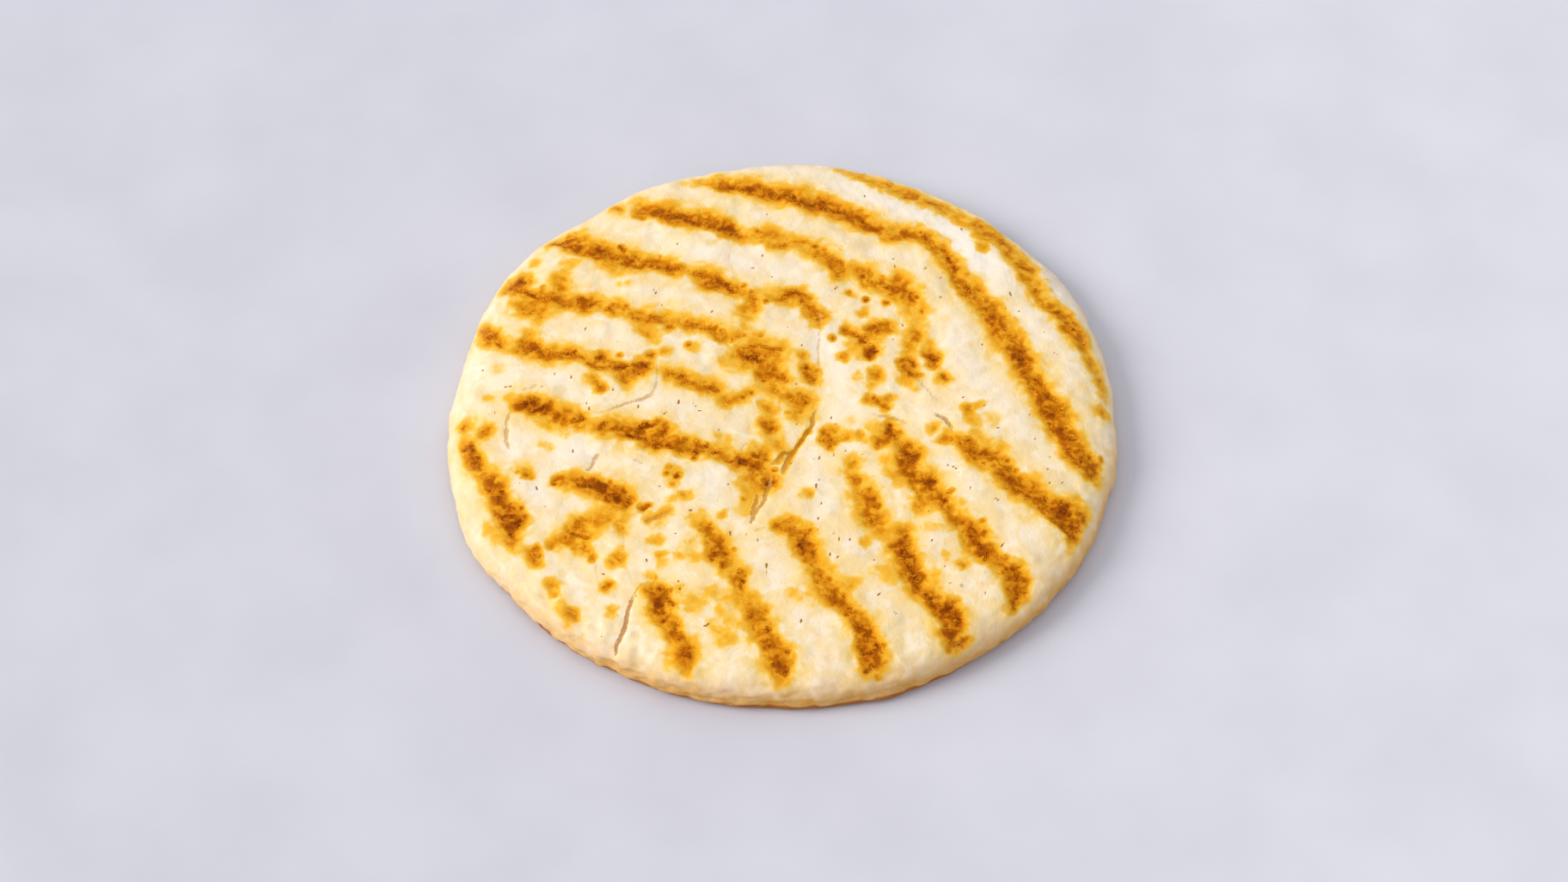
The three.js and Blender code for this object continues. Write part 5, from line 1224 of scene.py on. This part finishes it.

# %% [markdown]
# The bars' heat is shaken by noise where there is any, which frays the halos and leaves paler and browner
# islands inside the bars. The charred flecks are shaken harder and finer, and paler cells are let into
# them, which leaves the broken net of dark lines that blistered crust has. The paler cells are partly pale
# blisters and partly painted glints, where the glossy char would catch the light.

# %% Heat with its fine grain
bars = field("bar_heat")
flecks = field("char")
warm = climb(bars, 0.02, 0.22)
hot = climb(bars, 0.3, 0.6)
frayed = math_node("MULTIPLY", climb(grain(3.2, 2.5, 0.5, 0.4), -0.13, 0.13, -0.08, 0.08), warm)
islands = math_node("MULTIPLY", climb(grain(2.1, 2.5, 0.5, 0.5), -0.09, 0.09, -0.10, 0.10), hot)
bar_total = math_node("ADD", math_node("MULTIPLY", bars, 0.92), math_node("ADD", frayed, islands))

fleck_share = math_node("MULTIPLY", climb(flecks, 0.1, 0.5), 0.6)
fleck_grain = math_node("MULTIPLY", grain(1.3, 3.0, 0.55, 0.4), fleck_share)
fleck_total = math_node("ADD", math_node("MULTIPLY", flecks, 0.97), fleck_grain)
net = math_node("ABSOLUTE", grain(0.8, 2.0, 0.5, 0.3))
pale_cells_and_glints = math_node("MULTIPLY", climb(net, 0.04, 0.16), climb(flecks, 0.4, 0.8, 0.0, 0.26))
fleck_total = math_node("SUBTRACT", fleck_total, pale_cells_and_glints)
heat_total = math_node("MAXIMUM", bar_total, fleck_total)

print("heat, bars and flecks together, built")

# %% [markdown]
# Dough toasts from cream through yellow and gold to orange brown and dark brown. One ramp holds those
# colours, and the heat picks from it.

# %% Toasting ramp
TOASTING = [
    (0.00, "#fdebce"),
    (0.07, "#fce2ae"),
    (0.15, "#fbd581"),
    (0.26, "#f9c146"),
    (0.40, "#f2ad26"),
    (0.54, "#e39416"),
    (0.65, "#d07d08"),
    (0.77, "#b66200"),
    (0.88, "#984900"),
    (1.00, "#743300"),
]
ramp = node("ShaderNodeValToRGB", {"Fac": heat_total})
stops = ramp.color_ramp.elements
while len(stops) < len(TOASTING):
    stops.new(0.5)
for stop, (at, colour) in zip(stops, TOASTING):
    stop.position = at
    stop.color = linear(colour)
toasted = ramp.outputs["Color"]
print("toasting ramp:", len(TOASTING), "stops")

# %% [markdown]
# Raw dough isn't one colour either. Broad noise lays buttery patches on it, more of them towards the front,
# then beige ones and dry whitish ones, and the loose flour lies over them all.

# %% Floury mottling
rawness = climb(heat_total, 0.05, 0.22, 1.0, 0.0)
forward = climb(node("ShaderNodeSeparateXYZ", {0: place_mm}).outputs["Y"], 10.0, -60.0, -0.03, 0.10)
butter_grain = math_node("ADD", grain(9.0, 4.0, 0.6, 0.8), forward)
butter = math_node("MULTIPLY", climb(butter_grain, -0.04, 0.14), math_node("MULTIPLY", rawness, 0.6))
mottled = blend(butter, toasted, linear("#f8d692"))
beige_patches = climb(grain(5.0, 4.0, 0.6, 0.6), 0.03, 0.18)
beige = math_node("MULTIPLY", beige_patches, math_node("MULTIPLY", rawness, 0.4))
mottled = blend(beige, mottled, linear("#f2d9a6"))
dry_patches = climb(grain(6.0, 4.0, 0.6, 0.8), 0.0, 0.14)
dry = math_node("MULTIPLY", dry_patches, math_node("MULTIPLY", rawness, 0.5))
mottled = blend(dry, mottled, linear("#fff3dd"))
dusted = math_node("MULTIPLY", field("flour"), math_node("MULTIPLY", rawness, 0.85))
mottled = blend(dusted, mottled, linear("#fbf2e4"))
print("raw dough: buttery, beige, dry and floury patches laid")

# %% [markdown]
# The flank of the rim is beige, darker low down and browner towards the front. That tint is partly the
# rim's own colour and partly painted shade, where the rim turns under and away from the light, and it is
# weaker at the left, which faces the light. Below it comes the toasted fringe at the foot. Creases and
# pinholes are tan to brown, and the creases are darker the deeper they go: this is partly their browned
# edges and partly painted shade in the grooves and holes.

# %% Rim, creases and pinholes
facing_front = node("ShaderNodeVectorMath", {0: place_mm, 1: (0.34, -0.94, 0)}, operation="DOT_PRODUCT")
towards_front = facing_front.outputs["Value"]  # mm from the middle to the front, a little to the right
flank_shade = math_node("MULTIPLY", field("flank"), climb(grain(3.0, 4.0), -0.3, 0.3, 0.68, 1.0))
# Partly painted shade: the flank tint is browner towards the front and weaker at the left, which faces the
# light.
flank_shade = math_node("MULTIPLY", flank_shade, climb(towards_front, 10.0, 76.0, 0.58, 1.0))
flank_tint_and_painted_shade = blend(climb(towards_front, 0.0, 60.0), linear("#dfba78"), linear("#cf9438"))
sided = blend(flank_shade, mottled, flank_tint_and_painted_shade)
fringe_grain = math_node("MULTIPLY", grain(1.3, 4.0, 0.6), 0.7)
fringe_heat = math_node("ADD", field("toast"), math_node("MULTIPLY", fringe_grain, field("toast")))
fringe_mask = climb(fringe_heat, 0.06, 0.55)
fringed = blend(math_node("MULTIPLY", fringe_mask, 0.85), sided, linear("#a65c1c"))
crease_edge = math_node("ADD", field("crease_line"), math_node("MULTIPLY", grain(1.0, 3.0), 0.5))
crease_edge = math_node("ADD", crease_edge, climb(field("crease_depth"), 0.2, 0.7, 0.0, 0.14))
crease_strength = climb(field("crease_depth"), 0.08, 0.5, 0.0, 0.8)
crease = math_node("MULTIPLY", climb(crease_edge, 0.72, 0.92), crease_strength)
# Creases are tan to brown and darker the deeper they go: partly their browned edges, partly painted shade
# in the groove.
crease_colour_and_painted_shade = blend(climb(field("crease_depth"), 0.3, 0.65), linear("#e2ab55"), linear("#b06c12"))
creased = blend(crease, fringed, crease_colour_and_painted_shade)
# Each pinhole is coloured tan brown: partly its browned rim, partly painted shade inside the hole, which is
# hardly pressed in.
hole_edge = math_node("ADD", field("pinhole"), math_node("MULTIPLY", grain(0.7, 2.0), 0.18))
hole = climb(hole_edge, 0.48, 0.72)
holed_with_painted_shade = blend(math_node("MULTIPLY", hole, 0.95), creased, linear("#a8690f"))
print("crust colour built")

# %% [markdown]
# The surface is dry and floury, so it is rough, and it is a little smoother where the crust browned. The
# bump holds the fine pores, the soft unevenness of the dough, the blistered char and the depth of the
# pinholes and creases, in millimetres.

# %% Surface
pores = math_node("MULTIPLY", grain(0.9, 4.0, 0.6), 0.13)
soft_bumps = math_node("MULTIPLY", grain(2.6, 3.0, 0.5, 0.5), 0.27)
blisters = math_node("MULTIPLY", grain(0.8, 3.0, 0.6), climb(heat_total, 0.45, 0.85, 0.0, 0.42))
fine_height = math_node("ADD", math_node("ADD", pores, soft_bumps), blisters)
fine_height = math_node("SUBTRACT", fine_height, math_node("MULTIPLY", hole, 0.10))
fine_height = math_node("SUBTRACT", fine_height, math_node("MULTIPLY", crease, 0.25))
bump = node("ShaderNodeBump", {"Strength": 0.8, "Distance": MM, "Height": fine_height})
surface = node(
    "ShaderNodeBsdfPrincipled",
    {
        "Base Color": holed_with_painted_shade,
        "Roughness": climb(heat_total, 0.4, 0.9, 0.78, 0.46),
        "Normal": bump.outputs["Normal"],
        "Specular IOR Level": 0.05,
    },
)
node("ShaderNodeOutputMaterial", {"Surface": surface.outputs["BSDF"]})
loaf.data.materials.clear()
loaf.data.materials.append(crust)
bpy.ops.object.select_all(action="DESELECT")
loaf.select_set(True)
bpy.context.view_layer.objects.active = loaf
bpy.ops.object.shade_smooth()
print("crust nodes:", len(tree.nodes))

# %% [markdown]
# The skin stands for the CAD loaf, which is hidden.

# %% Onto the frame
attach(loaf, "root")
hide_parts("pita_bread")
print(loaf.name, "stands for pita_bread")

# %% [markdown]
# The loaf lies on a pale grey tabletop with faint clouds in it, which runs out of view on every side. It is
# painted lighter towards the right, a painted wash of light.

# %% Tabletop
bpy.ops.object.select_all(action="DESELECT")
bpy.ops.mesh.primitive_plane_add(size=6, location=(0, 0, 0))
tabletop = bpy.context.object
tabletop.name = "tabletop"
paint = bpy.data.materials.new("pale_tabletop")
paint.use_nodes = True
tree = paint.node_tree  # the node helpers build in this one from here on
tree.nodes.clear()
place = node("ShaderNodeTexCoord").outputs["Object"]
place_mm = node("ShaderNodeVectorMath", {0: place, "Scale": 1000.0}, operation="SCALE").outputs[0]
sideways = node("ShaderNodeSeparateXYZ", {0: place_mm}).outputs["X"]
patchy = climb(grain(38.0, 3.0, 0.5), -0.3, 0.3, 0.0, 0.5)
# Painted light: besides its clouds, the tabletop is made lighter towards the right.
clouds_and_painted_light = math_node("ADD", patchy, climb(sideways, -80, 260, 0.0, 0.5))
top_colour = blend(clouds_and_painted_light, linear("#d0d0d9"), linear("#e0e0e7"))
top_surface = node(
    "ShaderNodeBsdfPrincipled",
    {"Base Color": top_colour, "Roughness": 0.9, "Specular IOR Level": 0.2},
)
node("ShaderNodeOutputMaterial", {"Surface": top_surface.outputs["BSDF"]})
tabletop.data.materials.append(paint)
print("tabletop laid")

# %% [markdown]
# Soft daylight from a large window on the left, low enough to graze the crust, and an even fill from all
# round. The shadow is short and soft and falls to the right.

# %% Light
world = bpy.data.worlds.new("room")
bpy.context.scene.world = world
world.use_nodes = True
room = world.node_tree.nodes["Background"]
room.inputs["Color"].default_value = linear("#f6f8ff")
room.inputs["Strength"].default_value = 0.71

window = bpy.data.lights.new("window", "SUN")
window.energy = 2.16
window.angle = math.radians(34)
window.color = linear("#fffaf4")[:3]
window_holder = bpy.data.objects.new("window", window)
bpy.context.scene.collection.objects.link(window_holder)
from_window = Vector((-1.0, -0.07, 0.63))
window_holder.rotation_euler = (-from_window).to_track_quat("-Z", "Y").to_euler()
print("light from", [round(v, 2) for v in from_window.normalized()])

# %% [markdown]
# The camera looks down from the front at 53 degrees, through a long lens.

# %% Camera
AIM = Vector((0.00044, -0.00721, 0.0054))
ELEVATION = math.radians(53.1)
DISTANCE = 0.9405
lens = bpy.data.cameras.new("view_from_front")
lens.lens = 85
lens.sensor_width = 36
lens.clip_start = 0.01
lens.clip_end = 20
camera = bpy.data.objects.new("view_from_front", lens)
bpy.context.scene.collection.objects.link(camera)
back = Vector((0, -math.cos(ELEVATION), math.sin(ELEVATION)))
camera.location = AIM + back * DISTANCE
camera.rotation_euler = (-back).to_track_quat("-Z", "Y").to_euler()
bpy.context.scene.camera = camera
bpy.context.scene.view_settings.view_transform = "Standard"
bpy.context.scene.view_settings.look = "None"
print("camera at, mm:", [round(v / MM) for v in camera.location])
